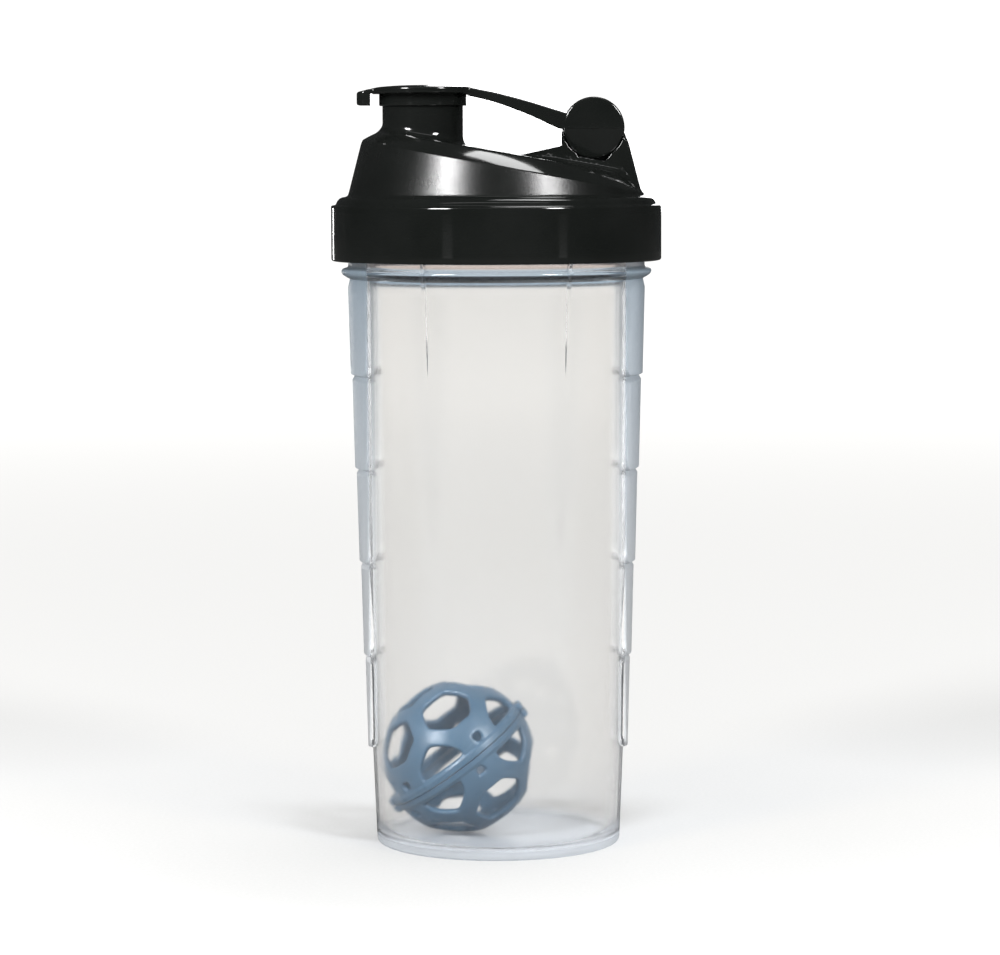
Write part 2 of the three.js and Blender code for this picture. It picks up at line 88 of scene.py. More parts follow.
SKIRT_R = 48.5
SKIRT_BORE_R = 46.2
SKIRT_Z = 172.35
SHOULDER_Z = 188.6
SEAT_Z = 188.4
PLUG_R = 41.1
PLUG_BORE_R = 39.4
PLUG_Z = 183.6
DOME_FOOT_Z = 191.8
DOME_Z = (DOME_FOOT_Z, 206.5, 213.0)
DOME_R = (43.4, 39.6, 36.8)
LID_WALL = 2.0
DECK_SLOPE = 0.18
EDGE_X = -39.5
EDGE_Z = 207.3
EDGE_R = 41.3
EDGE_CENTRE_X = 1.6
BEVEL_WIDTH = 6.3
BEVEL_HEIGHT = 4.2
BEVEL_CROWN = 0.2
DECK_THICK = 2.6

SPOUT_X = -21.4
SPOUT_R = 11.85
SPOUT_BORE_R = 9.6
SPOUT_RIM_Z = 219.2
SPOUT_FILLET = 2.4

HINGE_X = 28.5
HINGE_Z = 211.05
DRUM_R = 9.0
CAP_WIDTH = 17.0
ARM_INSET = 0.15  # the arm is this much narrower than the drum on each side
SLOT_WIDTH = 7.6
KNUCKLE_R = 5.6
KNUCKLE_WIDTH = 7.0
KNUCKLE_LEG_TOP_Z = 208.9
TRUNNION_R = 2.3
TRUNNION_LENGTH = 2.4
SOCKET_R = 2.6
CHAMFER_DEPTH = 1.4
POCKET_R = DRUM_R + 0.1
RELIEF_R = 5.7
RELIEF_DROP = 5.0
BLOCK_WIDTH = 17.6
BLOCK_FRONT_X = 19.1
BLOCK_FRONT_Z = 205.8
BLOCK_TOP_Z = 209.85
BLOCK_REAR_SETBACK = 0.5
BLOCK_SIDE_HEIGHT = 9.0  # greatest height of its sides over the deck
BLOCK_FILLET = 2.6  # greatest fillet at the foot of its sides
RAMP_FOOT_X = 6.2
RAMP_FOOT_Z = 203.0
PLATE_R = 15.6
PLATE_UNDER_Z = 221.0
PLATE_RIM_Z = 223.0
PLATE_TOP_Z = 223.7
TAB_TIP_X = -40.6
TAB_WIDTH = 15.0
HOOK_INNER_X = -36.5
SKIRTING_R = 12.8
SKIRTING_BORE_R = 12.15
SKIRTING_Z = 217.6
STOPPER_R = 9.2
STOPPER_BORE_R = 7.4
STOPPER_Z = 213.6
SEAL_WIDTH = {"lid_gasket": 4.1, "spout_seal": 2.2}

BALL_R = 22.7
BALL_WALL = 1.8
BALL_CENTRE = (-11.8, 0.0, FLOOR_Z + GAP + BALL_R)
BALL_TILT = 37.1
BALL_YAW = 2.3
BALL_RIB = 5.3
BALL_BAND = 2.85
BALL_RIM = 1.6
BALL_RIM_PROUD = 0.4
BALL_UPPER_TURN = 43.8
BALL_LOWER_TURN = 29.8
CLIP_WIDTH = 6.0
CLIP_HEIGHT = 2.4
CLIP_REACH = BALL_R + 1.6
CLIP_RIDGE = 1.1
# The windows of one half: count, angle from the pole, turn about it, and how much wider they are
# than their neighbours.
BALL_WINDOWS = ((1, 0, 0, 0.2), (5, 43.9, 0, 0), (5, 69.4, 0, -2.2), (5, 79.0, 36, -0.8))


# ---- meshes ----
def add_object(name, data):
    made = bpy.data.objects.new(name, data)
    bpy.context.scene.collection.objects.link(made)
    return made


def make_object(name, points, faces, materials, picks=None, sharp=32.0):
    """A smooth-shaded object from points in millimetres, creased where faces meet at a sharp angle."""
    mesh = bpy.data.meshes.new(name)
    mesh.from_pydata((np.asarray(points) * MM).tolist(), [], [list(map(int, f)) for f in faces])
    for material in materials:
        mesh.materials.append(material)
    if picks is not None:
        mesh.polygons.foreach_set("material_index", np.asarray(picks, dtype=np.int32))
    work = bmesh.new()
    work.from_mesh(mesh)
    bmesh.ops.remove_doubles(work, verts=work.verts, dist=1e-7)
    bmesh.ops.dissolve_degenerate(work, edges=work.edges, dist=1e-8)
    bmesh.ops.recalc_face_normals(work, faces=work.faces)
    work.to_mesh(mesh)
    work.free()
    mesh.shade_smooth()
    mesh.set_sharp_from_angle(angle=math.radians(sharp))
    return add_object(name, mesh)


def install(made, body, node):
    """The piece rides on a body and stands for a CAD node."""
    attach(made, body)
    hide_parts(node)
    return made


def grid_faces(rows, columns, closed=False):
    """Quads between rows of points. Each row is a loop; the last row meets the first when closed."""
    row = np.arange(rows if closed else rows - 1)[:, None]
    column = np.arange(columns)[None, :]
    after = (row + 1) % rows
    beside = (column + 1) % columns
    here, there = row * columns, after * columns
    corners = (here + column, here + beside, there + beside, there + column)
    return np.stack([np.broadcast_to(c, (len(row), columns)) for c in corners], axis=-1).reshape(-1, 4)


def filled_stack(rows):
    """Points and faces of rows of points joined in order, with a face over the first and the last."""
    count = len(rows[0])
    faces = [list(face) for face in grid_faces(len(rows), count)]
    faces.append(list(range(count)))
    faces.append([(len(rows) - 1) * count + index for index in reversed(range(count))])
    return np.concatenate(rows), faces


def lathe(outline, columns=128, closed=True):
    """Points and faces of a turned ring about Z. The outline lists (radius, z)."""
    angle = np.linspace(0, 2 * math.pi, columns, endpoint=False)
    rows = []
    for r, z in outline:
        rows.append(np.stack([r * np.cos(angle), r * np.sin(angle), np.full(columns, z)], axis=1))
    return np.concatenate(rows), grid_faces(len(rows), columns, closed)


def rounded(outline, radius, steps=4):
    """A closed outline with every corner turned into an arc-like curve."""
    made = []
    count = len(outline)
    for index, corner in enumerate(outline):
        corner = np.array(corner, dtype=float)
        before = np.array(outline[index - 1], dtype=float) - corner
        after = np.array(outline[(index + 1) % count], dtype=float) - corner
        reach_before = min(radius, np.linalg.norm(before) * 0.45)
        reach_after = min(radius, np.linalg.norm(after) * 0.45)
        start = corner + before / np.linalg.norm(before) * reach_before
        end = corner + after / np.linalg.norm(after) * reach_after
        for step in np.linspace(0, 1, steps + 1):
            made.append((1 - step) ** 2 * start + 2 * step * (1 - step) * corner + step**2 * end)
    return made


def smooth_step(value):
    """0 below 0, 1 above 1, and a soft S between."""
    value = np.clip(value, 0, 1)
    return value * value * (3 - 2 * value)


def soft_min(a, b, radius):
    """The smaller of two heights, with the corner between them rounded."""
    blend = np.clip(0.5 + 0.5 * (b - a) / radius, 0, 1)
    return b * (1 - blend) + a * blend - radius * blend * (1 - blend)


def rounded_box(low, high, radius, segments=3):
    """Points and faces of a box with rounded edges."""
    work = bmesh.new()
    bmesh.ops.create_cube(work, size=1.0)
    low, high = Vector(low), Vector(high)
    for vertex in work.verts:
        vertex.co = Vector([low[i] + (vertex.co[i] + 0.5) * (high[i] - low[i]) for i in range(3)])
    bmesh.ops.bevel(
        work, geom=work.edges[:], offset=radius, segments=segments, profile=0.5, affect="EDGES"
    )
    points = [tuple(vertex.co) for vertex in work.verts]
    faces = [[vertex.index for vertex in face.verts] for face in work.faces]
    work.free()
    return np.array(points), faces


def join(*parts):
    """Several (points, faces) made into one."""
    points, faces, start = [], [], 0
    for part_points, part_faces in parts:
        points.append(np.asarray(part_points))
        faces.extend([[int(index) + start for index in face] for face in part_faces])
        start += len(part_points)
    return np.concatenate(points), faces


def turned_along_y(outline, columns=96, closed=False):
    """Like lathe, about the hinge axis. The outline lists (radius, y)."""
    points, faces = lathe(outline, columns, closed)
    return np.stack([points[:, 0] + HINGE_X, points[:, 2], points[:, 1] + HINGE_Z], axis=1), faces


# ---- cup ----
def cone_r(z):
    return FOOT_R + TAPER * z


def side_angle(angle):
    """Angle in degrees from the nearer end of the X axis."""
    return np.abs((angle + 90) % 180 - 90)


def pad_span(index):
    """Bottom and top of a grip pad, counted from the foot."""
    low = PAD_LOWEST + PAD_PITCH * index
    return low, min(low + PAD_PITCH - PAD_STEP, PAD_TOP_Z)


def pad_edge_angle(z):
    """Angle in degrees from the X axis to a pad's upright edge."""
    height = np.clip(z, PAD_LOWEST, PAD_TOP_Z)
    return np.degrees(np.arccos(PAD_EDGE_X / (cone_r(height) + PAD_PROUD_TOP)))


def pad_height(angle, z):
    """How far the grip pads stand out of the wall at an angle in degrees and a height."""
    across = np.radians(side_angle(angle) - pad_edge_angle(z)) * cone_r(z)
    height = np.zeros_like(angle)
    for index in range(PAD_COUNT):
        low, high = pad_span(index)
        below = np.full_like(angle, low - z)
        in_corner = (across > -PAD_CORNER) & (below > -PAD_CORNER)
        corner = np.hypot(across + PAD_CORNER, below + PAD_CORNER) - PAD_CORNER
        distance = np.where(in_corner, corner, np.maximum(across, below))
        ledge = np.clip(1 - (z - high) / PAD_STEP, 0, 1)
        rise = np.clip((z - low) / (high - low), 0, 1)
        proud = PAD_PROUD_BOTTOM + (PAD_PROUD_TOP - PAD_PROUD_BOTTOM) * rise
        height = np.maximum(height, proud * ledge * smooth_step(0.5 - distance / PAD_FLANK))
    return height


def thread_height(angle, z, lift, crest):
    """How far the screw thread stands out at an angle in degrees and a height."""
    height = np.zeros_like(angle)
    lead = THREAD_STARTS * THREAD_PITCH
    for start in range(THREAD_STARTS):
        turn = (angle / 360 - start / THREAD_STARTS) % 1.0
        away = np.abs(z - (THREAD_Z + lift + lead * turn))
        flank = np.clip((THREAD_ROOT / 2 - away) / ((THREAD_ROOT - THREAD_CREST) / 2), 0, 1)
        fade = smooth_step(np.minimum(turn, THREAD_TURNS - turn) * THREAD_FADE)
        height = np.maximum(height, crest * smooth_step(flank) * fade)
    return height


def rib_height(angle, z):
    """How far the inner stacking ribs stand in from the wall."""
    across = np.radians(np.abs(side_angle(angle) - RIB_ANGLE)) * cone_r(z)
    depth = np.interp(z, (RIB_BOTTOM_Z, RIB_TOP_Z - 2, RIB_TOP_Z), (0, RIB_DEPTH, 0))
    return depth * smooth_step(1.5 - across / (RIB_WIDTH / 2))


def cup_angles(z):
    """Column angles round the cup, in degrees, gathered at the pads' edges and at the ribs."""
    edge = pad_edge_angle(z)
    per_mm = math.degrees(1 / cone_r(z))
    rib = RIB_WIDTH / 2 * per_mm
    pad = [edge * part for part in (0, 0.12, 0.24, 0.36, 0.48, 0.58)]
    border = [edge + away * per_mm for away in (-3.2, -2.4, -1.7, -1.1, -0.6, -0.25, 0, 0.25, 0.6, 1.0)]
    between = [border[-1] + (36.0 - border[-1]) * part for part in (0.33, 0.66, 1.0)]
    wall = [39, 42, 45, 48, 51, 54, 57]
    blade = [RIB_ANGLE + rib * part for part in (-2, -1.5, -1, -0.5, 0, 0.5, 1, 1.5, 2)]
    rest = [63, 66, 69, 72, 75, 78, 81, 84, 87, 90]
    quarter = np.array(pad + border + between + wall + blade + rest)
    return np.concatenate(
        [quarter, 180 - quarter[-2::-1], 180 + quarter[1:], 360 - quarter[-2:0:-1]]
    )


def cup_row(z, radius, outward=None):
    """One loop of the cup. outward gives what stands out of it at each column."""
    angle = cup_angles(z)
    out = radius + (outward(angle) if outward else 0)
    turn = np.radians(angle)
    return np.stack([out * np.cos(turn), out * np.sin(turn), np.full_like(turn, z)], axis=1)


def cup_wall_heights():
    """Heights of the rows up the outer wall, gathered where a pad starts."""
    heights = [2.2, 3.5, 6, 9, 13, 17, 21, 25, 27.4]
    for index in range(PAD_COUNT):
        low, high = pad_span(index)
        heights += [low + step for step in (-0.3, -0.1, 0.1, 0.3, 0.6, 1.0, 1.5, 2.1, 2.8, 3.6)]
        heights += np.linspace(low + 5.5, high - 0.4, 9).tolist()
        if index < PAD_COUNT - 1:
            heights += [high, high + 0.5, high + 1.0]
    return heights


def cup_foot_rows():
    outline = [(0.0, FOOT_RECESS), (12, FOOT_RECESS), (24, FOOT_RECESS), (31.2, FOOT_RECESS)]
    outline += [(32.0, 0.5), (32.4, 0.12), (32.8, 0.0), (34.4, 0.0), (35.1, 0.06), (35.6, 0.28)]
    outline += [(35.9, 0.7), (FOOT_R + 0.03, 1.3)]
    return [cup_row(z, r) for r, z in outline]


def cup_wall_rows():
    return [cup_row(z, cone_r(z), lambda angle, z=z: pad_height(angle, z)) for z in cup_wall_heights()]


def cup_bead_rows():
    """The bead under the lid, with the top pads where they stand further out than it does."""
    outline = [(43.1, 167.1), (44.2, 167.7), (45.1, 168.3), (45.5, 168.9), (BEAD_R, 169.4)]
    outline += [(45.35, 169.9), (44.8, 170.2), (44.1, 170.35), (43.75, 170.6), (NECK_R, 171.1)]

    def pads_past(r, z):
        return lambda angle: np.maximum(cone_r(z) + pad_height(angle, z), r) - r

    return [cup_row(z, r, pads_past(r, z) if z < BEAD_Z else None) for r, z in outline]


def cup_neck_rows():
    """The threaded outside of the neck and its rim."""
    rows = []
    crest = CUP_THREAD_R - NECK_R
    for z in np.arange(171.8, RIM_Z - 0.7, THREAD_ROW):
        rows.append(cup_row(z, NECK_R, lambda angle, z=z: thread_height(angle, z, 0, crest)))
    rim = [(NECK_R - 0.05, 185.5), (NECK_R - 0.25, 185.85), (NECK_R - 0.6, RIM_Z)]
    rim += [(INNER_NECK_R + 0.5, RIM_Z), (INNER_NECK_R + 0.18, 185.85), (INNER_NECK_R, 185.4)]
    return rows + [cup_row(z, r) for r, z in rim]


def cup_inner_rows():
    """The inner wall with its stacking ribs, from the rim down to the middle of the floor."""
    rows = []
    ribbed = [np.linspace(183, 178.3, 4), np.linspace(178, 176, 6), np.linspace(174, 136, 16), [134.9]]
    for z in np.concatenate(ribbed):
        inside = np.interp(z, (BEAD_Z, RIM_Z - 8), (cone_r(BEAD_Z) - WALL, INNER_NECK_R))
        inside = inside if z > BEAD_Z else cone_r(z) - WALL
        rows.append(cup_row(z, inside, lambda angle, z=z: -rib_height(angle, z)))
    rows += [cup_row(z, cone_r(z) - WALL) for z in np.linspace(131, 9, 24)]
    bottom = [(34.3, 7.4), (34.15, 6.0), (33.8, 4.7), (33.2, 3.6), (32.3, 2.8), (31.2, 2.3)]
    bottom += [(29.8, FLOOR_Z), (22, FLOOR_Z), (12, FLOOR_Z), (0.0, FLOOR_Z)]
    return rows + [cup_row(z, r) for r, z in bottom]


def build_cup(material):
    rows = cup_foot_rows() + cup_wall_rows() + cup_bead_rows() + cup_neck_rows() + cup_inner_rows()
    faces = grid_faces(len(rows), len(rows[0]))
    made = make_object("cup_body", np.concatenate(rows), faces, [material], sharp=40)
    return install(made, "cup", "cup")


# ---- lid ----
LID_COLUMNS = 480
LID_CROWDING = 0.55  # how much closer the columns stand at the hinge
EVEN_ANGLE = np.linspace(0, 2 * math.pi, LID_COLUMNS, endpoint=False)
LID_ANGLE = EVEN_ANGLE - LID_CROWDING * np.sin(EVEN_ANGLE)


def dome_r(z):
    """Outer radius of the dome, which leans in and bends once."""
    return np.interp(z, DOME_Z, DOME_R)


def edge_z(x):
    """Height of the plane that cuts the dome's upper edge."""
    return EDGE_Z - DECK_SLOPE * (x - EDGE_X)


def deck_z(x):
    """Height of the flat deck, parallel to that plane."""
    return edge_z(x) + BEVEL_HEIGHT


def border_z(x, y):
    """Height of the sloping border and the flat deck, without what stands on it."""
    climb = (EDGE_R - np.hypot(x - EDGE_CENTRE_X, y)) / BEVEL_WIDTH
    crowned = climb + BEVEL_CROWN * climb * np.clip(1 - climb, 0, 1)
    return soft_min(deck_z(x), edge_z(x) + BEVEL_HEIGHT * crowned, 0.55)


def fillet_rise(distance, radius):
    """Height of a concave fillet at a distance from the wall that it climbs."""
    reach = np.clip(radius - distance, 0, radius)
    return radius - np.sqrt(np.maximum(radius**2 - reach**2, 0))


def ramp_z(x):
    """Height of the ramp that climbs the deck to the hinge block."""
    slope = (BLOCK_FRONT_Z - RAMP_FOOT_Z) / (BLOCK_FRONT_X - RAMP_FOOT_X)
    return RAMP_FOOT_Z + slope * (x - RAMP_FOOT_X)


def lid_top_z(x, y):
    """Height of the lid's top: border, deck, and the fillets at the spout and at the hinge block."""
    base = border_z(x, y)
    from_spout = np.hypot(x - SPOUT_X, y) - SPOUT_R
    rise = fillet_rise(from_spout, SPOUT_FILLET)
    beside = np.abs(y) - BLOCK_WIDTH / 2
    tall = np.where(x > BLOCK_FRONT_X, BLOCK_SIDE_HEIGHT, ramp_z(x) - base - 0.3)
    tall = np.clip(tall, 0, BLOCK_SIDE_HEIGHT)
    radius = np.clip(tall * 0.8, 0.01, BLOCK_FILLET) * smooth_step((x - RAMP_FOOT_X) / 4)
    rise = rise + fillet_rise(np.maximum(beside, 0), np.maximum(radius, 0.01))
    from_edge = EDGE_R - np.hypot(x - EDGE_CENTRE_X, y)
    return base + rise * smooth_step((from_edge + 0.5) / 3.0)


def edge_loop():
    """Radius of the dome's upper edge in each column, where the border meets the dome."""
    low, high = np.full(LID_COLUMNS, 36.5), np.full(LID_COLUMNS, 43.4)
    for _ in range(40):
        middle = (low + high) / 2
        over = border_z(middle * np.cos(LID_ANGLE), middle * np.sin(LID_ANGLE))
        wall = np.interp(middle, DOME_R[::-1], DOME_Z[::-1])
        outside = over < wall
        low, high = np.where(outside, middle, low), np.where(outside, high, middle)
    return (low + high) / 2


def ring_row(radius, z):
    radius = np.broadcast_to(radius, LID_COLUMNS)
    z = np.broadcast_to(z, LID_COLUMNS)
    return np.stack([radius * np.cos(LID_ANGLE), radius * np.sin(LID_ANGLE), z], axis=1)


def spout_row(radius, z):
    row = ring_row(radius, z)
    row[:, 0] += SPOUT_X
    return row


def lid_outer_rows():
    """The skirt from its lower edge up, and the ledge round the dome's foot."""
    skirt = [(46.8, SKIRT_Z), (47.7, SKIRT_Z), (48.1, SKIRT_Z + 0.08), (48.38, SKIRT_Z + 0.3)]
    skirt += [(SKIRT_R, 173.0)]
    skirt += [(SKIRT_R, z) for z in (175, 178, 181, 184, 186.5, 188.0)]
    skirt += [(48.46, 188.3), (48.34, 188.5), (48.1, SHOULDER_Z), (47.5, 188.68), (47.15, 188.85)]
    skirt += [(46.95, 189.2), (46.75, 189.7), (46.4, 190.2), (45.9, 190.65), (45.2, 190.95), (44.5, 191.08)]
    skirt += [(44.0, 191.2), (43.65, 191.45), (43.45, 191.8)]
    return [ring_row(r, z) for r, z in skirt]


def lid_dome_rows(edge_height):
    foot = 192.15  # where the fillet at the dome's foot ends
    rows = []
    for part in np.concatenate([np.linspace(0, 0.92, 14), [0.97, 0.99]]):
        z = foot + (edge_height - foot) * part
        rows.append(ring_row(dome_r(z), z))
    return rows


def ruled(start, end, parts):
    """Rows of points between two rows."""
    return [start + (end - start) * part for part in parts]


def deck_parts():
    """Row places between the dome's edge and the spout, gathered at both ends."""
    near_edge = [0.006, 0.014, 0.026, 0.04, 0.06, 0.08, 0.1, 0.115, 0.125, 0.135, 0.145, 0.155]
    near_edge += [0.17, 0.19, 0.22]
    middle = np.linspace(0.26, 0.72, 18)
    from_spout = [0.24, 0.21, 0.18, 0.15, 0.125, 0.1, 0.08, 0.06, 0.045, 0.03, 0.018, 0.009, 0.004, 0.0]
    return np.concatenate([near_edge, middle, 1 - np.array(from_spout)])


def lid_deck_rows(edge_r):
    rows = []
    outer = ring_row(edge_r, 0.0)[:, :2]
    inner = spout_row(SPOUT_R, 0.0)[:, :2]
    for flat in ruled(outer, inner, deck_parts()):
        rows.append(np.column_stack([flat, lid_top_z(flat[:, 0], flat[:, 1])]))
    return rows


def lid_spout_rows(foot_row):
    """The spout's outer wall from the deck up, its rim, and the top of its bore."""
    foot = foot_row[:, 2]
    wall_top_z = SPOUT_RIM_Z - 0.6
    parts = (0.05, 0.15, 0.35, 0.6, 0.85, 1.0)
    rows = [spout_row(SPOUT_R, foot + (wall_top_z - foot) * part) for part in parts]
    rim = [(11.8, 218.9), (11.65, 219.12), (11.4, SPOUT_RIM_Z), (10.2, SPOUT_RIM_Z), (9.85, 219.1)]
    rim += [(9.66, 218.85), (SPOUT_BORE_R, 218.3), (SPOUT_BORE_R, 215.0)]
    return rows + [spout_row(r, z) for r, z in rim]


def lid_ceiling_rows(edge_r):
    """The underside of the deck from the spout's bore out, and the dome's inner wall down to the plug."""
    wall_r = edge_r - LID_WALL - 0.4
    bore = spout_row(SPOUT_BORE_R, 0.0)[:, :2]
    outer = ring_row(wall_r, 0.0)[:, :2]
    rows = []
    for flat in ruled(bore, outer, np.linspace(0, 1, 26)):
        rows.append(np.column_stack([flat, border_z(flat[:, 0], flat[:, 1]) - DECK_THICK]))
    last = rows[-1]
    lowest = np.minimum(last[:, 2] - 1.0, DOME_FOOT_Z + 4)
    for part in (0.3, 0.65, 1.0):
        z = last[:, 2] + (lowest - last[:, 2]) * part
        rows.append(ring_row(wall_r + (PLUG_BORE_R - wall_r) * part, z))
    return rows


def lid_inner_rows():
    """The plug ring, the gasket's seat, and the threaded bore of the skirt."""
    plug = [(PLUG_BORE_R, 186.0), (PLUG_BORE_R, 184.1), (39.55, 183.75), (39.9, PLUG_Z), (40.7, PLUG_Z)]
    plug += [(41.0, 183.8), (PLUG_R, 184.2), (PLUG_R, 187.9), (41.3, SEAT_Z), (45.7, SEAT_Z)]
    rows = [ring_row(r, z) for r, z in plug + [(SKIRT_BORE_R, 188.1)]]
    angle = np.degrees(LID_ANGLE)
    for z in np.arange(187.6, 173.6, -THREAD_ROW):
        crest = thread_height(angle, z, THREAD_PITCH / 2, SKIRT_BORE_R - LID_THREAD_R)
        rows.append(ring_row(SKIRT_BORE_R - crest, z))
    return rows + [ring_row(r, z) for r, z in ((46.3, 173.2), (46.6, 172.8), (46.68, 172.5))]


def build_lid_shell(gloss, satin):
    edge_r = edge_loop()
    edge_height = border_z(edge_r * np.cos(LID_ANGLE), edge_r * np.sin(LID_ANGLE))
    skirt = lid_outer_rows()
    dome = lid_dome_rows(edge_height)
    deck = lid_deck_rows(edge_r)
    spout = lid_spout_rows(deck[-1])
    rows = skirt + dome + deck + spout + lid_ceiling_rows(edge_r) + lid_inner_rows()
    faces = grid_faces(len(rows), LID_COLUMNS, closed=True)
    picks = np.zeros((len(rows), LID_COLUMNS), dtype=np.int32)
    first = len(skirt) - 1
    picks[first : first + len(dome)] = 1
    points = np.concatenate(rows)
    made = make_object("lid_shell_body", points, faces, [gloss, satin], picks.reshape(-1), sharp=38)
    return install(made, "lid", "lid_shell")


def arc(centre_z, radius, start, end, count):
    """Points (x, z) on an arc about a point under the hinge axis. Angles are in radians."""
    turns = np.linspace(start, end, count)
    return [(HINGE_X + radius * math.cos(turn), centre_z + radius * math.sin(turn)) for turn in turns]


def wall_top(thickness):
    """The greatest height under the block's top where a wall still has some thickness."""
    low, high = 200.0, BLOCK_TOP_Z
    for _ in range(40):
        z = (low + high) / 2
        low, high = (z, high) if thickness(z) > 0.15 else (low, z)
    return low


def block_profile(y, shaved):
    """Side outline of the hinge block, as (x, z), with every face shaved by the same amount."""
    pocket, relief = POCKET_R + shaved, RELIEF_R + shaved
    front_x = BLOCK_FRONT_X + shaved

    def half_pocket(z):
        return math.sqrt(pocket**2 - (HINGE_Z - z) ** 2)

    def rear_x(z):
        return math.sqrt(dome_r(z) ** 2 - y**2) - BLOCK_REAR_SETBACK - shaved

    front_top = wall_top(lambda z: HINGE_X - half_pocket(z) - front_x)
    rear_top = wall_top(lambda z: rear_x(z) - HINGE_X - half_pocket(z))
    meet_depth = ((pocket**2 - relief**2) / RELIEF_DROP + RELIEF_DROP) / 2
    meet_turn = math.asin(meet_depth / pocket)
    relief_turn = math.asin((meet_depth - RELIEF_DROP) / relief)
    hidden_x = 2.0  # the block's front end lies under the deck
    outline = [(hidden_x, 196.0), (hidden_x, ramp_z(hidden_x) - shaved)]
    outline += [(x, ramp_z(x) - shaved) for x in np.linspace(3, front_x - 0.6, 10)]
    ramp_top = ramp_z(front_x)
    outline += [(front_x - 0.22, ramp_top + 0.04 - shaved), (front_x, ramp_top + 0.3 - shaved)]
    outline += [(front_x, z) for z in np.linspace(BLOCK_FRONT_Z + 0.7, front_top - 0.06, 5)]
    outline.append((front_x + 0.05, front_top))
    start = math.pi + math.asin((HINGE_Z - front_top + 0.03) / pocket)
    end = 2 * math.pi - math.asin((HINGE_Z - rear_top + 0.03) / pocket)
    outline += arc(HINGE_Z, pocket, start, math.pi + meet_turn, 16)
    lower_z = HINGE_Z - RELIEF_DROP
    outline += arc(lower_z, relief, math.pi + relief_turn, 2 * math.pi - relief_turn, 26)[1:-1]
    outline += arc(HINGE_Z, pocket, 2 * math.pi - meet_turn, end, 16)
    outline.append((rear_x(rear_top) - 0.06, rear_top))
    for z in np.linspace(rear_top - 0.06, 191.0, 18):
        sunk = 0.5 * float(smooth_step((edge_z(rear_x(z)) + 0.6 - z) / 0.6))
        outline.append((rear_x(z) - sunk, z))
    outline.append((34.0, 190.6))
    return np.array(outline)


def build_hinge_block(material):
    half = BLOCK_WIDTH / 2
    round_r = 0.2  # rounding of the side edges
    rows = []
    depths = [0, 0.03, 0.07, 0.13, 0.2, 2.0, 4.5, 7.0, half]
    places = [-(half - d) for d in depths] + [half - d for d in depths[-2::-1]]
    for y in places:
        depth = min(half - abs(y), round_r)
        shaved = round_r - math.sqrt(max(round_r**2 - (round_r - depth) ** 2, 0))
        outline = block_profile(y, shaved)
        rows.append(np.column_stack([outline[:, 0], np.full(len(outline), y), outline[:, 1]]))
    points, faces = filled_stack(rows)
    made = make_object("lid_hinge_block", points, faces, [material], sharp=40)
    return install(made, "lid", "lid_shell")


def build_knuckle(material):
    half = KNUCKLE_WIDTH / 2
    reach = half + TRUNNION_LENGTH
    outline = [(0, -reach), (TRUNNION_R - 0.3, -reach), (TRUNNION_R, 0.3 - reach), (TRUNNION_R, -half)]
    outline += [(KNUCKLE_R - 0.4, -half), (KNUCKLE_R - 0.12, 0.12 - half), (KNUCKLE_R, 0.4 - half)]
    outline += [(radius, -y) for radius, y in reversed(outline)]
    leg = rounded_box(
        (BLOCK_FRONT_X + 0.2, -half, HINGE_Z - RELIEF_DROP - RELIEF_R - 3),
        (HINGE_X + POCKET_R, half, KNUCKLE_LEG_TOP_Z),
        0.4,
    )
    points, faces = join(turned_along_y(outline), leg)
    made = make_object("lid_hinge_knuckle", points, faces, [material], sharp=35)
    return install(made, "lid", "lid_shell")


# ---- flip cap ----
def cap_half_width(x):
    """Half the width of the cap seen from above: hook, round plate and arm."""
    disc = np.sqrt(np.maximum(PLATE_R**2 - (x - SPOUT_X) ** 2, 0))
    corner = 2.6
    from_tip = np.clip(x - TAB_TIP_X, 0, corner)
    tab = TAB_WIDTH / 2 - corner + np.sqrt(corner**2 - (corner - from_tip) ** 2)
    arm = CAP_WIDTH / 2 - ARM_INSET
    side = np.where(x < SPOUT_X, tab, arm)
    return -soft_min(-disc, -side, 1.6)


def cap_spine(x):
    """Height of the cap's top along its middle."""
    plate = [(TAB_TIP_X, 221.7), (HOOK_INNER_X, 222.7), (-31, 223.35), (-26, 223.62)]
    plate += [(SPOUT_X, PLATE_TOP_Z), (-14, 223.6)]
    arm = [(-7.9, 223.05), (-3.5, 222.35), (0.9, 221.4), (9.1, 219.2), (19.8, 215.85), (24.0, 214.5)]
    return np.interp(x, *zip(*(plate + arm)))


def smoothed(function, x, reach):
    """A function evened out over a short reach, so that its straight pieces run into each other."""
    shifts = np.linspace(-reach, reach, 9)
    return sum(function(x + shift) for shift in shifts) / len(shifts)


def cap_top_z(x, y):
    """Height of the cap's top: a shallow crown on the round plate, and a slightly crowned arm."""
    spine = smoothed(cap_spine, x, 3.2) if x > -37 else cap_spine(x)
    from_axis = np.hypot(x - SPOUT_X, y)
    plate = PLATE_RIM_Z + (PLATE_TOP_Z - PLATE_RIM_Z) * (1 - (from_axis / PLATE_R) ** 2)
    on_plate = float(smooth_step((-4.0 - x) / 6.0)) * float(smooth_step((x + 39.5) / 5.0))
    crown = spine - 0.35 * (y / (CAP_WIDTH / 2)) ** 2
    return np.minimum(plate, spine + 0.02) * on_plate + crown * (1 - on_plate)


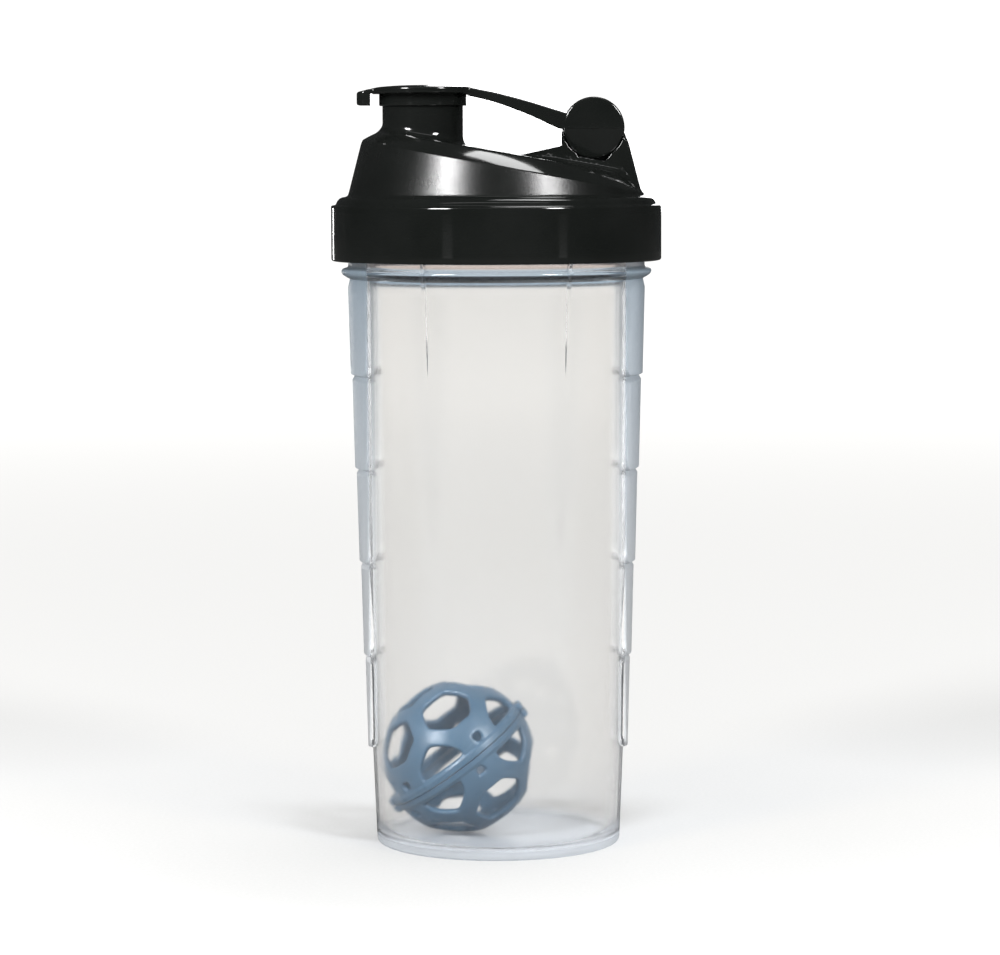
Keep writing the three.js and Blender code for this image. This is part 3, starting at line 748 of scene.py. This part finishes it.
def cap_bottom_z(x):
    """Height of the cap's underside: the thumb hook, the round plate and the arm."""
    if x < HOOK_INNER_X:
        return SKIRTING_Z + 0.2
    line = [(HOOK_INNER_X, PLATE_UNDER_Z + 0.15), (-9.5, PLATE_UNDER_Z + 0.15), (-7.9, 220.35)]
    line += [(-3.5, 219.4), (0.9, 218.2), (9.1, 215.1), (14.5, 212.6), (19.1, 210.35), (22.6, 210.3)]
    places, heights = zip(*line)
    reach = 2.4 if x > -6 else 0.6
    return float(smoothed(lambda at: np.interp(at, places, heights), x, reach))


def cap_section(x, tip_round):
    """One closed loop across the cap, from the top's -Y edge round to the underside."""
    width = float(cap_half_width(x))
    round_r = 0.55
    turns = np.radians(np.linspace(0, 90, 6))
    edge = width - round_r + round_r * np.sin(turns)
    inner = np.linspace(-(width - round_r), width - round_r, 19)
    across = np.concatenate([-edge[::-1], inner[1:-1], edge])
    away = np.maximum(np.abs(across) - (width - round_r), 0)
    rounding = round_r - np.sqrt(np.maximum(round_r**2 - away**2, 0)) + tip_round
    top = cap_top_z(x, across) - rounding
    low = cap_bottom_z(x) + rounding * 0.8
    upper = np.column_stack([np.full(len(across), x), across, top])
    lower = np.column_stack([np.full(len(across), x), across, np.minimum(low, top - 0.15)])
    return np.concatenate([upper, lower[::-1]])


def cap_arm():
    """The cap's long body, from the hook's tip over the plate to the drum."""
    tip_round = 0.6
    tip = [TAB_TIP_X + away for away in (0.0, 0.05, 0.16, 0.33, 0.6)]
    hook = np.linspace(TAB_TIP_X + 0.9, HOOK_INNER_X - 0.02, 10).tolist()
    plate = np.concatenate([[HOOK_INNER_X + 0.01, HOOK_INNER_X + 0.3], np.linspace(-35.8, -5, 64)]).tolist()
    arm = np.linspace(-4.2, 22.4, 48).tolist()
    rows = []
    for x in tip + hook + plate + arm:
        near = min(x - TAB_TIP_X, tip_round)
        lost = tip_round - math.sqrt(max(tip_round**2 - (tip_round - near) ** 2, 0))
        rows.append(cap_section(x, lost))
    return filled_stack(rows)


def cap_cheek(side):
    """One cheek of the drum, with a trunnion's socket. Its outer face leans in below the crease."""
    inner, outer = SLOT_WIDTH / 2, CAP_WIDTH / 2
    socket = KNUCKLE_WIDTH / 2 + TRUNNION_LENGTH + GAP
    outline = [(0, socket), (SOCKET_R, socket), (SOCKET_R, inner + 0.25), (SOCKET_R + 0.25, inner)]
    outline += [(DRUM_R - 0.35, inner), (DRUM_R - 0.1, inner + 0.1), (DRUM_R, inner + 0.35)]
    outline += [(DRUM_R, outer - 2.4), (DRUM_R, outer - 0.7), (DRUM_R - 0.06, outer - 0.42)]
    outline += [(DRUM_R - 0.22, outer - 0.2), (DRUM_R - 0.45, outer - 0.06), (DRUM_R - 0.75, outer)]
    outline += [(radius, outer) for radius in (7.4, 6.2, 4.8, 3.2, 1.6, 0)]
    points, faces = turned_along_y(outline)
    below = np.maximum(HINGE_Z - points[:, 2], 0) / DRUM_R
    outward = smooth_step((points[:, 1] - (outer - 2.4)) / 1.7)
    points[:, 1] -= CHAMFER_DEPTH * below * outward
    if side < 0:
        points[:, 1] *= -1
    return points, faces


def cheek_ridge(side):
    """The fine ridge along the crease of a cheek."""
    near, far = sorted((side * (CAP_WIDTH / 2 - 0.3), side * (CAP_WIDTH / 2 + 0.08)))
    low = (HINGE_X - DRUM_R + 1.2, near, HINGE_Z - 0.2)
    high = (HINGE_X + DRUM_R - 0.5, far, HINGE_Z + 0.2)
    return rounded_box(low, high, 0.12)


def cap_rings():
    """The short ring round the spout's rim and the stopper that plugs its bore."""
    top = PLATE_UNDER_Z + 0.5

    def tube(bore_r, outer_r, low, edge_r, columns):
        corners = [(bore_r, low), (outer_r, low), (outer_r, top), (bore_r, top)]
        return lathe(rounded(corners, edge_r), columns)

    skirting = tube(SKIRTING_BORE_R, SKIRTING_R, SKIRTING_Z, 0.25, 128)
    stopper = tube(STOPPER_BORE_R, STOPPER_R, STOPPER_Z, 0.5, 96)
    points, faces = join(skirting, stopper)
    points[:, 0] += SPOUT_X
    return points, faces


def build_flip_cap(material):
    sides = [make(side) for make in (cap_cheek, cheek_ridge) for side in (1, -1)]
    points, faces = join(cap_arm(), *sides, cap_rings())
    made = make_object("flip_cap_body", points, faces, [material], sharp=36)
    return install(made, "flip_cap", "flip_cap")


# ---- seals ----
def build_seal(name, node, body, material, x=0.0):
    """A seal with rounded edges, as high and as wide as its CAD node."""
    low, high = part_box(node)
    outer = (high[1] - low[1]) / 2 / MM
    bottom, top = low[2] / MM, high[2] / MM
    width = SEAL_WIDTH[node]
    outline = rounded(
        [(outer - width, bottom), (outer, bottom), (outer, top), (outer - width, top)], 0.5
    )
    points, faces = lathe(outline, 160)
    points[:, 0] += x
    made = make_object(name, points, faces, [material], sharp=60)
    return install(made, body, node)


# ---- mixing ball ----
def window_seeds(turn):
    """Unit directions of one half's windows, and how much wider each is, in parts of the radius."""
    at, widen = [], []
    for count, polar, offset, wider in BALL_WINDOWS:
        for index in range(count):
            angle = math.radians(turn + offset + 360 / count * index)
            out = math.sin(math.radians(polar))
            at.append((out * math.cos(angle), out * math.sin(angle), math.cos(math.radians(polar))))
            widen.append(wider / BALL_R)
    return np.array(at), np.array(widen)


def rib_field(points, seeds, widen):
    """Distance from each unit point into the ribs, in millimetres. It is negative in the windows."""
    apart = np.linalg.norm(seeds[:, None] - seeds[None], axis=2)
    np.fill_diagonal(apart, 1e9)
    near = points @ seeds.T + widen
    own = near.argmax(axis=1)
    margin = (near.max(axis=1)[:, None] - near) / apart[own]
    margin[np.arange(len(points)), own] = 9.0
    walls = np.column_stack([margin - BALL_RIB / 2 / BALL_R, points[:, 2] - BALL_BAND / BALL_R])
    corner = 0.022
    soft = -corner * np.log(np.exp(-np.clip(walls, -0.5, 0.8) / corner).sum(axis=1))
    return -soft * BALL_R


def clip_mesh(points, triangles, keep):
    """Cuts a mesh of unit points along keep = 0, and keeps the side where it is positive."""
    inside = keep[triangles] > 0
    count = inside.sum(axis=1)
    total = len(points)
    crossings = []

    def lead(picked, wanted):
        """The picked triangles, turned so that their odd corner comes first."""
        first = (inside[picked] == wanted).argmax(axis=1)
        order = (first[:, None] + np.arange(3)) % 3
        return np.take_along_axis(triangles[picked], order, axis=1)

    one = lead(count == 1, True)
    two = lead(count == 2, False)
    for group in (one, two):
        crossings += [np.sort(group[:, [0, 1]], axis=1), np.sort(group[:, [0, 2]], axis=1)]
    edges, index = np.unique(np.concatenate(crossings), axis=0, return_inverse=True)
    index = index.reshape(-1) + total
    cut = np.split(index, np.cumsum([len(one), len(one), len(two)]))
    a, b = edges[:, 0], edges[:, 1]
    part = (keep[a] / (keep[a] - keep[b]))[:, None]
    fresh = points[a] + (points[b] - points[a]) * part
    fresh /= np.linalg.norm(fresh, axis=1, keepdims=True)
    made = [
        triangles[count == 3],
        np.column_stack([one[:, 0], cut[0], cut[1]]),
        np.column_stack([cut[2], two[:, 1], two[:, 2]]),
        np.column_stack([cut[2], two[:, 2], cut[3]]),
    ]
    everything = np.concatenate([points, fresh])
    faces = np.concatenate(made)
    used, renumbered = np.unique(faces, return_inverse=True)
    return everything[used], renumbered.reshape(-1, 3)


def unit_sphere():
    work = bmesh.new()
    bmesh.ops.create_icosphere(work, subdivisions=7, radius=1.0)
    points = np.array([vertex.co[:] for vertex in work.verts])
    triangles = np.array([[vertex.index for vertex in face.verts] for face in work.faces])
    work.free()
    return points / np.linalg.norm(points, axis=1, keepdims=True), triangles


def thicken(points, triangles, depth):
    """The cage sheet made into a closed wall, with its edges rounded over."""
    round_r = 0.6
    reach = np.clip(round_r - depth, 0, round_r)
    round_off = round_r - np.sqrt(np.maximum(round_r**2 - reach**2, 0))
    above_seam = points[:, 2] * BALL_R - GAP / 2
    rim = BALL_RIM_PROUD * (1 - smooth_step((above_seam - BALL_RIM) / 0.5))
    outer = (BALL_R + rim - round_off)[:, None] * points
    inner = (BALL_R - BALL_WALL + round_off)[:, None] * points
    seam = GAP / 2
    at_seam = above_seam < 0.02
    outer[at_seam, 2] = seam
    inner[at_seam, 2] = seam
    edges = np.concatenate([triangles[:, [0, 1]], triangles[:, [1, 2]], triangles[:, [2, 0]]])
    _, place, count = np.unique(np.sort(edges, axis=1), axis=0, return_index=True, return_counts=True)
    border = edges[place[count == 1]]
    total = len(points)
    walls = [(b, a, a + total, b + total) for a, b in border]
    faces = triangles.tolist() + (triangles[:, ::-1] + total).tolist() + walls
    return np.concatenate([outer, inner]), faces


def ball_clips():
    """The two clips beside the seam, with ridges across them."""
    parts = []
    for side in (1, -1):
        low_x, high_x = sorted((side * (BALL_R - 0.9), side * (CLIP_REACH - 0.35)))
        low, high = (low_x, -CLIP_WIDTH / 2, GAP / 2), (high_x, CLIP_WIDTH / 2, CLIP_HEIGHT)
        parts.append(rounded_box(low, high, 0.35))
        near, far = sorted((side * (BALL_R - 0.2), side * (CLIP_REACH - 0.02)))
        for middle in (-1.9, 0.0, 1.9):
            low = (near, middle - CLIP_RIDGE / 2, GAP / 2 + 0.1)
            high = (far, middle + CLIP_RIDGE / 2, CLIP_HEIGHT - 0.15)
            parts.append(rounded_box(low, high, 0.3, 2))
    return join(*parts)


def ball_matrix(turned_over):
    """From a half's own axes, pole up, to its place in the cup."""
    flip = Matrix.Rotation(math.pi if turned_over else 0.0, 4, "X")
    half_turn = Matrix.Rotation(math.pi, 4, "Z")
    tilt = Matrix.Rotation(-math.radians(BALL_TILT), 4, "Y")
    yaw = Matrix.Rotation(math.radians(BALL_YAW), 4, "Z")
    return Matrix.Translation(Vector(BALL_CENTRE)) @ yaw @ tilt @ half_turn @ flip


def build_ball_half(name, node, turned_over, turn, material):
    points, triangles = unit_sphere()
    seeds, widen = window_seeds(turn)
    upper = points[triangles][:, :, 2].max(axis=1) > -0.05
    points, triangles = clip_mesh(points, triangles[upper], points[:, 2] - GAP / 2 / BALL_R)
    points, triangles = clip_mesh(points, triangles, rib_field(points, seeds, widen))
    cage = thicken(points, triangles, np.maximum(rib_field(points, seeds, widen), 0))
    made_points, faces = join(cage, ball_clips())
    place = np.array(ball_matrix(turned_over))
    made_points = made_points @ place[:3, :3].T + place[:3, 3]
    made = make_object(name, made_points, faces, [material], sharp=50)
    return install(made, "ball", node)


# ---- materials ----
BLACK_TONES = ((0.0034, 0.0040, 0.0036), (0.0052, 0.0058, 0.0054))
SILICONE_TONES = ((0.62, 0.61, 0.57), (0.72, 0.71, 0.67))
BLUE_TONES = ((0.050, 0.122, 0.198), (0.066, 0.148, 0.236))
BLUE_GLOW = 0.42  # share of the light that the ball's plastic lets through
# Tint of the light through the clear wall; its darkening towards the bead is painted shade.
WINDOW_TINTS_AND_SHADE = ((0.926, 0.922, 0.914), (0.868, 0.861, 0.848))  # at the lowest pad, at the bead
# Painted shade at grazing angles, for the dark surroundings seen through the cup's edges.
GRAZING_SHADE = (0.83, 0.81, 0.785)
# The pads' blue is painted reflection of the dark surroundings; the bead's blue-grey and the neck's warm
# grey are painted shade under the lid.
ZONE_TINTS_AND_SHADES = {
    "pad": (0.80, 0.86, 0.92),
    "base": (0.72, 0.755, 0.795),
    "bead": (0.56, 0.66, 0.75),
    "neck": (0.69, 0.60, 0.555),
}
MILK_TONE = (0.90, 0.93, 0.97)
# Painted colour of the pads: a grey-blue painted reflection of the dark surroundings, with painted shade
# that deepens towards the top.
PAD_SHADE_TONES = ((0.375, 0.378, 0.382), (0.116, 0.150, 0.182))  # at the lowest pad, at the bead
BASE_FROST = (0.34, 0.358, 0.375)
CLEAR_TONE = (0.96, 0.97, 0.985)  # what the cup takes from light that makes a shadow
BASE_MILK, BASE_COVER, PAD_COVER = 0.22, 0.5, 0.78
BASE_TO_Z = (4.0, 1.6)  # pairs of heights between which a zone of the cup fades in
BEAD_FROM_Z = (166.0, 167.6)
BEAD_TO_Z = (171.2, 170.4)
NECK_FROM_Z = (170.5, 171.2)
PAPER_TONES = ((0.405, 0.405, 0.403), (0.96, 0.96, 0.955))
PAPER_FADE = (0.1, 2.1)  # metres from the bottle


class Nodes:
    """A short way to write the node tree of a material or of the world."""

    def __init__(self, owner, output="ShaderNodeOutputMaterial"):
        owner.use_nodes = True
        self.owner = owner
        self.tree = owner.node_tree
        self.tree.nodes.clear()
        self.output = self.add(output)

    def add(self, kind, inputs=(), **settings):
        """A node. Its inputs, by name or number, take numbers, colours and other nodes' outputs."""
        node = self.tree.nodes.new(kind)
        for key, value in settings.items():
            setattr(node, key, value)
        for key, value in dict(inputs).items():
            socket = node.inputs[key]
            if isinstance(value, bpy.types.NodeSocket):
                self.tree.links.new(value, socket)
            else:
                socket.default_value = (*value, 1.0) if socket.type == "RGBA" else value
        return node

    def place(self):
        return self.add("ShaderNodeTexCoord").outputs["Object"]

    def stretched(self, scale):
        values = {"Vector": self.place(), "Scale": scale}
        return self.add("ShaderNodeMapping", values).outputs["Vector"]

    def noise(self, scale, detail=3.0, roughness=0.5, vector=None):
        """Noise from 0 to 1. scale is in cells per metre."""
        values = {"Scale": scale, "Detail": detail, "Roughness": roughness}
        values["Vector"] = vector or self.place()
        return self.add("ShaderNodeTexNoise", values).outputs["Fac"]

    def span(self, value, low, high, to_low, to_high, kind="LINEAR"):
        """value from low..high brought to to_low..to_high."""
        values = {"Value": value, "From Min": low, "From Max": high, "To Min": to_low, "To Max": to_high}
        return self.add("ShaderNodeMapRange", values, interpolation_type=kind).outputs["Result"]

    def math(self, operation, a, b=0.0, clamp=False):
        return self.add("ShaderNodeMath", {0: a, 1: b}, operation=operation, use_clamp=clamp).outputs[0]

    def blend(self, factor, a, b):
        """A colour between a and b."""
        return self.add("ShaderNodeMix", {0: factor, 6: a, 7: b}, data_type="RGBA").outputs[2]

    def mottled(self, cloud, tones):
        """A colour that wanders between two tones with a noise."""
        return self.blend(self.span(cloud, 0.3, 0.7, 0, 1), *tones)

    def bump(self, height, distance, strength=1.0, normal=None):
        values = {"Height": height, "Distance": distance, "Strength": strength}
        if normal is not None:
            values["Normal"] = normal
        return self.add("ShaderNodeBump", values).outputs["Normal"]

    def shader(self, kind, **inputs):
        """A shader, with its inputs named as in Blender but for _ in place of the spaces."""
        values = {key.replace("_", " "): value for key, value in inputs.items()}
        return self.add(kind, values).outputs[0]

    def principled(self, **inputs):
        return self.shader("ShaderNodeBsdfPrincipled", **inputs)

    def mix_shader(self, factor, a, b):
        return self.add("ShaderNodeMixShader", {0: factor, 1: a, 2: b}).outputs[0]

    def mirrored(self):
        """1 for a ray that a glossy face has mirrored, 0 for the others, also for those through the cup."""
        path = self.add("ShaderNodeLightPath").outputs
        return self.math("SUBTRACT", path["Is Glossy Ray"], path["Is Transmission Ray"], True)

    def finish(self, shader):
        self.tree.links.new(shader, self.output.inputs["Surface"])
        return self.owner


def black_plastic(name, roughness, grain, grain_depth, scuffs=0.06):
    """Black moulded polypropylene: faint grain, slow gloss changes and fine scuffs."""
    nodes = Nodes(bpy.data.materials.new(name))
    cloud = nodes.noise(55, 4)
    scuff = nodes.noise(260, 6, 0.7, nodes.stretched((1.0, 1.0, 0.25)))
    worn = nodes.span(scuff, 0.52, 0.78, 0.0, scuffs)
    uneven = nodes.span(cloud, 0.25, 0.75, roughness * 0.85, roughness * 1.15)
    fine = nodes.bump(nodes.noise(grain, 2), grain_depth)
    plastic = nodes.principled(
        Base_Color=nodes.mottled(cloud, BLACK_TONES),
        Roughness=nodes.math("ADD", worn, uneven),
        Normal=nodes.bump(nodes.noise(38, 2), 0.00006, 0.6, fine),
        IOR=1.49,
    )
    return nodes.finish(plastic)


def silicone(name):
    """Matt white seal rubber with a little depth to it."""
    nodes = Nodes(bpy.data.materials.new(name))
    cloud = nodes.noise(120, 4)
    rubber = nodes.principled(
        Base_Color=nodes.mottled(cloud, SILICONE_TONES),
        Roughness=nodes.span(cloud, 0.3, 0.7, 0.42, 0.58),
        Normal=nodes.bump(nodes.noise(3500, 2), 0.00002),
        Subsurface_Weight=0.25,
        Subsurface_Scale=0.003,
    )
    return nodes.finish(rubber)


def blue_plastic(name):
    """Translucent blue moulded plastic."""
    nodes = Nodes(bpy.data.materials.new(name))
    tone = nodes.mottled(nodes.noise(70, 4), BLUE_TONES)
    skin = nodes.principled(
        Base_Color=tone,
        Roughness=nodes.span(nodes.noise(400, 5), 0.3, 0.7, 0.26, 0.36),
        Normal=nodes.bump(nodes.noise(2600, 2), 0.000012),
        IOR=1.5,
    )
    glow = nodes.shader("ShaderNodeBsdfTranslucent", Color=tone)
    return nodes.finish(nodes.mix_shader(BLUE_GLOW, skin, glow))


def cup_zones(nodes):
    """Masks from 0 to 1 over the parts of the cup, and the height up its wall from 0 to 1."""
    axes = nodes.add("ShaderNodeSeparateXYZ", {0: nodes.place()}).outputs

    def past(axis, fade):
        return nodes.span(axis, fade[0] * MM, fade[1] * MM, 0, 1, "SMOOTHSTEP")

    return {
        "pad": past(nodes.math("ABSOLUTE", axes["X"]), (PAD_EDGE_X - 0.5, PAD_EDGE_X + 0.3)),
        "base": past(axes["Z"], BASE_TO_Z),
        "bead": nodes.math("MULTIPLY", past(axes["Z"], BEAD_FROM_Z), past(axes["Z"], BEAD_TO_Z)),
        "neck": past(axes["Z"], NECK_FROM_Z),
        "height": nodes.span(axes["Z"], PAD_LOWEST * MM, BEAD_Z * MM, 0, 1),
    }


def cup_tint_and_shade(nodes, zones):
    """Colour of the light that comes through the cup, with painted shade towards the bead, at grazing
    angles and in the bead and the neck, and painted reflection on the pads.
    """
    facing = nodes.add("ShaderNodeLayerWeight", {"Blend": 0.35}).outputs["Facing"]
    tint_and_shade = nodes.blend(facing, nodes.blend(zones["height"], *WINDOW_TINTS_AND_SHADE), GRAZING_SHADE)
    for zone, colour in ZONE_TINTS_AND_SHADES.items():
        tint_and_shade = nodes.blend(zones[zone], tint_and_shade, colour)
    return tint_and_shade


def cup_body_shader(nodes, zones, normal):
    """Clear plastic with a little milk in it."""
    cloud = nodes.noise(30, 3)
    smooth = nodes.span(cloud, 0.3, 0.7, 0.03, 0.06)
    glass = nodes.principled(
        Transmission_Weight=1.0,
        IOR=1.49,
        Base_Color=cup_tint_and_shade(nodes, zones),
        Roughness=nodes.math("ADD", smooth, nodes.math("MULTIPLY", zones["pad"], 0.25)),
        Normal=normal,
    )
    milk = nodes.shader("ShaderNodeBsdfTranslucent", Color=MILK_TONE)
    wandering = nodes.span(cloud, 0.3, 0.7, 0.02, 0.035)
    haze = nodes.math("ADD", nodes.math("MULTIPLY", zones["base"], BASE_MILK), wandering)
    return nodes.mix_shader(haze, glass, milk)


def cup_frost_and_shade_shader(nodes, zones, normal):
    """The satin skin of the pads and of the base. On the pads its colour is painted: painted reflection of
    the dark surroundings, with painted shade that deepens towards the bead.
    """
    # painted shade on the pads: darker towards the bead
    pad_shade = nodes.blend(zones["height"], *PAD_SHADE_TONES)
    return nodes.principled(
        Base_Color=nodes.blend(zones["base"], pad_shade, BASE_FROST),
        Roughness=nodes.span(nodes.noise(700, 4), 0.3, 0.7, 0.34, 0.46),
        Normal=normal,
    )


def cup_plastic(name):
    """Clear polypropylene with a little milkiness, more of it in the pads and in the base. The pads'
    grey-blue cover is painted reflection of the dark surroundings and painted shade.
    """
    nodes = Nodes(bpy.data.materials.new(name))
    zones = cup_zones(nodes)
    fine = nodes.bump(nodes.noise(5200, 2), 0.000006)
    normal = nodes.bump(nodes.noise(45, 2), 0.00005, 0.6, fine)
    body = cup_body_shader(nodes, zones, normal)
    frost_and_shade = cup_frost_and_shade_shader(nodes, zones, normal)
    on_pads = nodes.math("MULTIPLY", zones["pad"], PAD_COVER)
    on_base = nodes.math("MULTIPLY", zones["base"], BASE_COVER)
    inward = nodes.add("ShaderNodeNewGeometry").outputs["Backfacing"]
    outward = nodes.math("SUBTRACT", 1.0, inward)
    solid = nodes.math("MULTIPLY", nodes.math("MAXIMUM", on_pads, on_base), outward)
    body = nodes.mix_shader(solid, body, frost_and_shade)
    clear = nodes.shader("ShaderNodeBsdfTransparent", Color=CLEAR_TONE)
    path = nodes.add("ShaderNodeLightPath").outputs
    light = nodes.math("MAXIMUM", path["Is Shadow Ray"], path["Is Diffuse Ray"])
    return nodes.finish(nodes.mix_shader(light, body, clear))


def floor_paper(name):
    """Studio paper, paler further away. Glossy faces see it dark."""
    nodes = Nodes(bpy.data.materials.new(name))
    away = nodes.add("ShaderNodeVectorMath", {0: nodes.place()}, operation="LENGTH").outputs["Value"]
    tone = nodes.blend(nodes.span(away, *PAPER_FADE, 0.0, 1.0), *PAPER_TONES)
    fibres = nodes.span(nodes.noise(900, 4), 0.3, 0.7, 0, 0.03)
    tone = nodes.blend(fibres, tone, (1.0, 1.0, 1.0))
    paper = nodes.shader("ShaderNodeBsdfDiffuse", Color=tone)
    dark = nodes.shader("ShaderNodeBsdfDiffuse", Color=(0.05, 0.05, 0.05))
    return nodes.finish(nodes.mix_shader(nodes.mirrored(), paper, dark))


# ---- studio ----
CAMERA_LENS = 133.2
CAMERA_PLACE = (0.00119, -1.090, 0.20435)
CAMERA_DOWN = 5.043  # degrees
CAMERA_ROLL = 0.2
BRIGHT_WORLD = 1.12
DIM_WORLD = 0.03
LIGHTS_AIM = (0.0, 0.0, 0.19)
# Name, azimuth, elevation, distance, width, height, power, and whether only mirroring faces see it.
SOFT_BOXES = (
    ("key_left", -41, 27, 1.0, 0.22, 0.30, 14.0, False),
    ("key_right", 43, 27, 1.0, 0.18, 0.30, 10.0, False),
    ("top_back", 150, 69, 0.9, 0.34, 0.20, 2.0, False),
    ("top_front", 0, 64, 1.0, 1.1, 0.08, 0.8, True),
    ("strip_left", -157, -5, 1.4, 0.04, 0.26, 0.4, True),
    ("backdrop", 176, 5, 1.6, 0.32, 0.34, 1.8, True),
    ("card_left", -33, -6, 1.2, 0.14, 0.18, 0.03, True),
    ("card_right", 46, -6, 1.2, 0.12, 0.18, 0.025, True),
)
FLOOR_REACH = 6.0


def make_world():
    """White to the eye and through the cup, dark where the black plastic mirrors it."""
    world = bpy.data.worlds.new("studio")
    bpy.context.scene.world = world
    nodes = Nodes(world, "ShaderNodeOutputWorld")
    bright = nodes.shader("ShaderNodeBackground", Color=(1.0, 0.995, 0.985), Strength=BRIGHT_WORLD)
    dim = nodes.shader("ShaderNodeBackground", Color=(0.95, 0.98, 1.0), Strength=DIM_WORLD)
    nodes.finish(nodes.mix_shader(nodes.mirrored(), bright, dim))


def soft_box(name, azimuth, elevation, distance, width, height, power, mirrored_only):
    """An area light aimed at the lid. Azimuth 0 is in front of the bottle, and grows towards +X."""
    light = bpy.data.lights.new(name, "AREA")
    light.shape = "RECTANGLE"
    light.size, light.size_y = width, height
    light.energy = power
    made = add_object(name, light)
    turn, lift = math.radians(azimuth), math.radians(elevation)
    away = Vector((math.sin(turn) * math.cos(lift), -math.cos(turn) * math.cos(lift), math.sin(lift)))
    made.location = Vector(LIGHTS_AIM) + away * distance
    made.rotation_mode = "QUATERNION"
    made.rotation_quaternion = away.to_track_quat("Z", "Y")
    made.visible_camera = False
    made.visible_transmission = False
    made.visible_diffuse = not mirrored_only


def make_floor():
    mesh = bpy.data.meshes.new("floor")
    sides = ((-1, -1), (1, -1), (1, 1), (-1, 1))
    mesh.from_pydata([(x * FLOOR_REACH, y * FLOOR_REACH, 0) for x, y in sides], [], [(0, 1, 2, 3)])
    mesh.materials.append(floor_paper("floor_paper"))
    add_object("floor", mesh)


def make_camera():
    camera = bpy.data.cameras.new("camera")
    camera.sensor_width = 36.0
    camera.lens = CAMERA_LENS
    camera.clip_start, camera.clip_end = 0.05, 50.0
    made = add_object("camera", camera)
    made.location = CAMERA_PLACE
    made.rotation_euler = (math.radians(90 - CAMERA_DOWN), math.radians(CAMERA_ROLL), 0.0)
    bpy.context.scene.camera = made


def build():
    gloss = black_plastic("lid_gloss", 0.085, 2200, 0.000003)
    satin = black_plastic("lid_satin", 0.25, 3600, 0.00004, 0.04)
    cap = black_plastic("cap_gloss", 0.10, 2600, 0.000004)
    rubber = silicone("silicone")
    blue = blue_plastic("ball_blue")
    build_cup(cup_plastic("cup_clear"))
    build_lid_shell(gloss, satin)
    build_hinge_block(gloss)
    build_knuckle(gloss)
    build_flip_cap(cap)
    build_seal("lid_gasket_ring", "lid_gasket", "gasket", rubber)
    build_seal("spout_seal_ring", "spout_seal", "flip_cap", rubber, SPOUT_X)
    build_ball_half("ball_upper_cage", "ball_half_upper", False, BALL_UPPER_TURN, blue)
    build_ball_half("ball_lower_cage", "ball_half_lower", True, -BALL_LOWER_TURN, blue)


make_camera()
make_world()
for soft_box_values in SOFT_BOXES:
    soft_box(*soft_box_values)
make_floor()
build()
bpy.context.scene.view_settings.view_transform = "Standard"
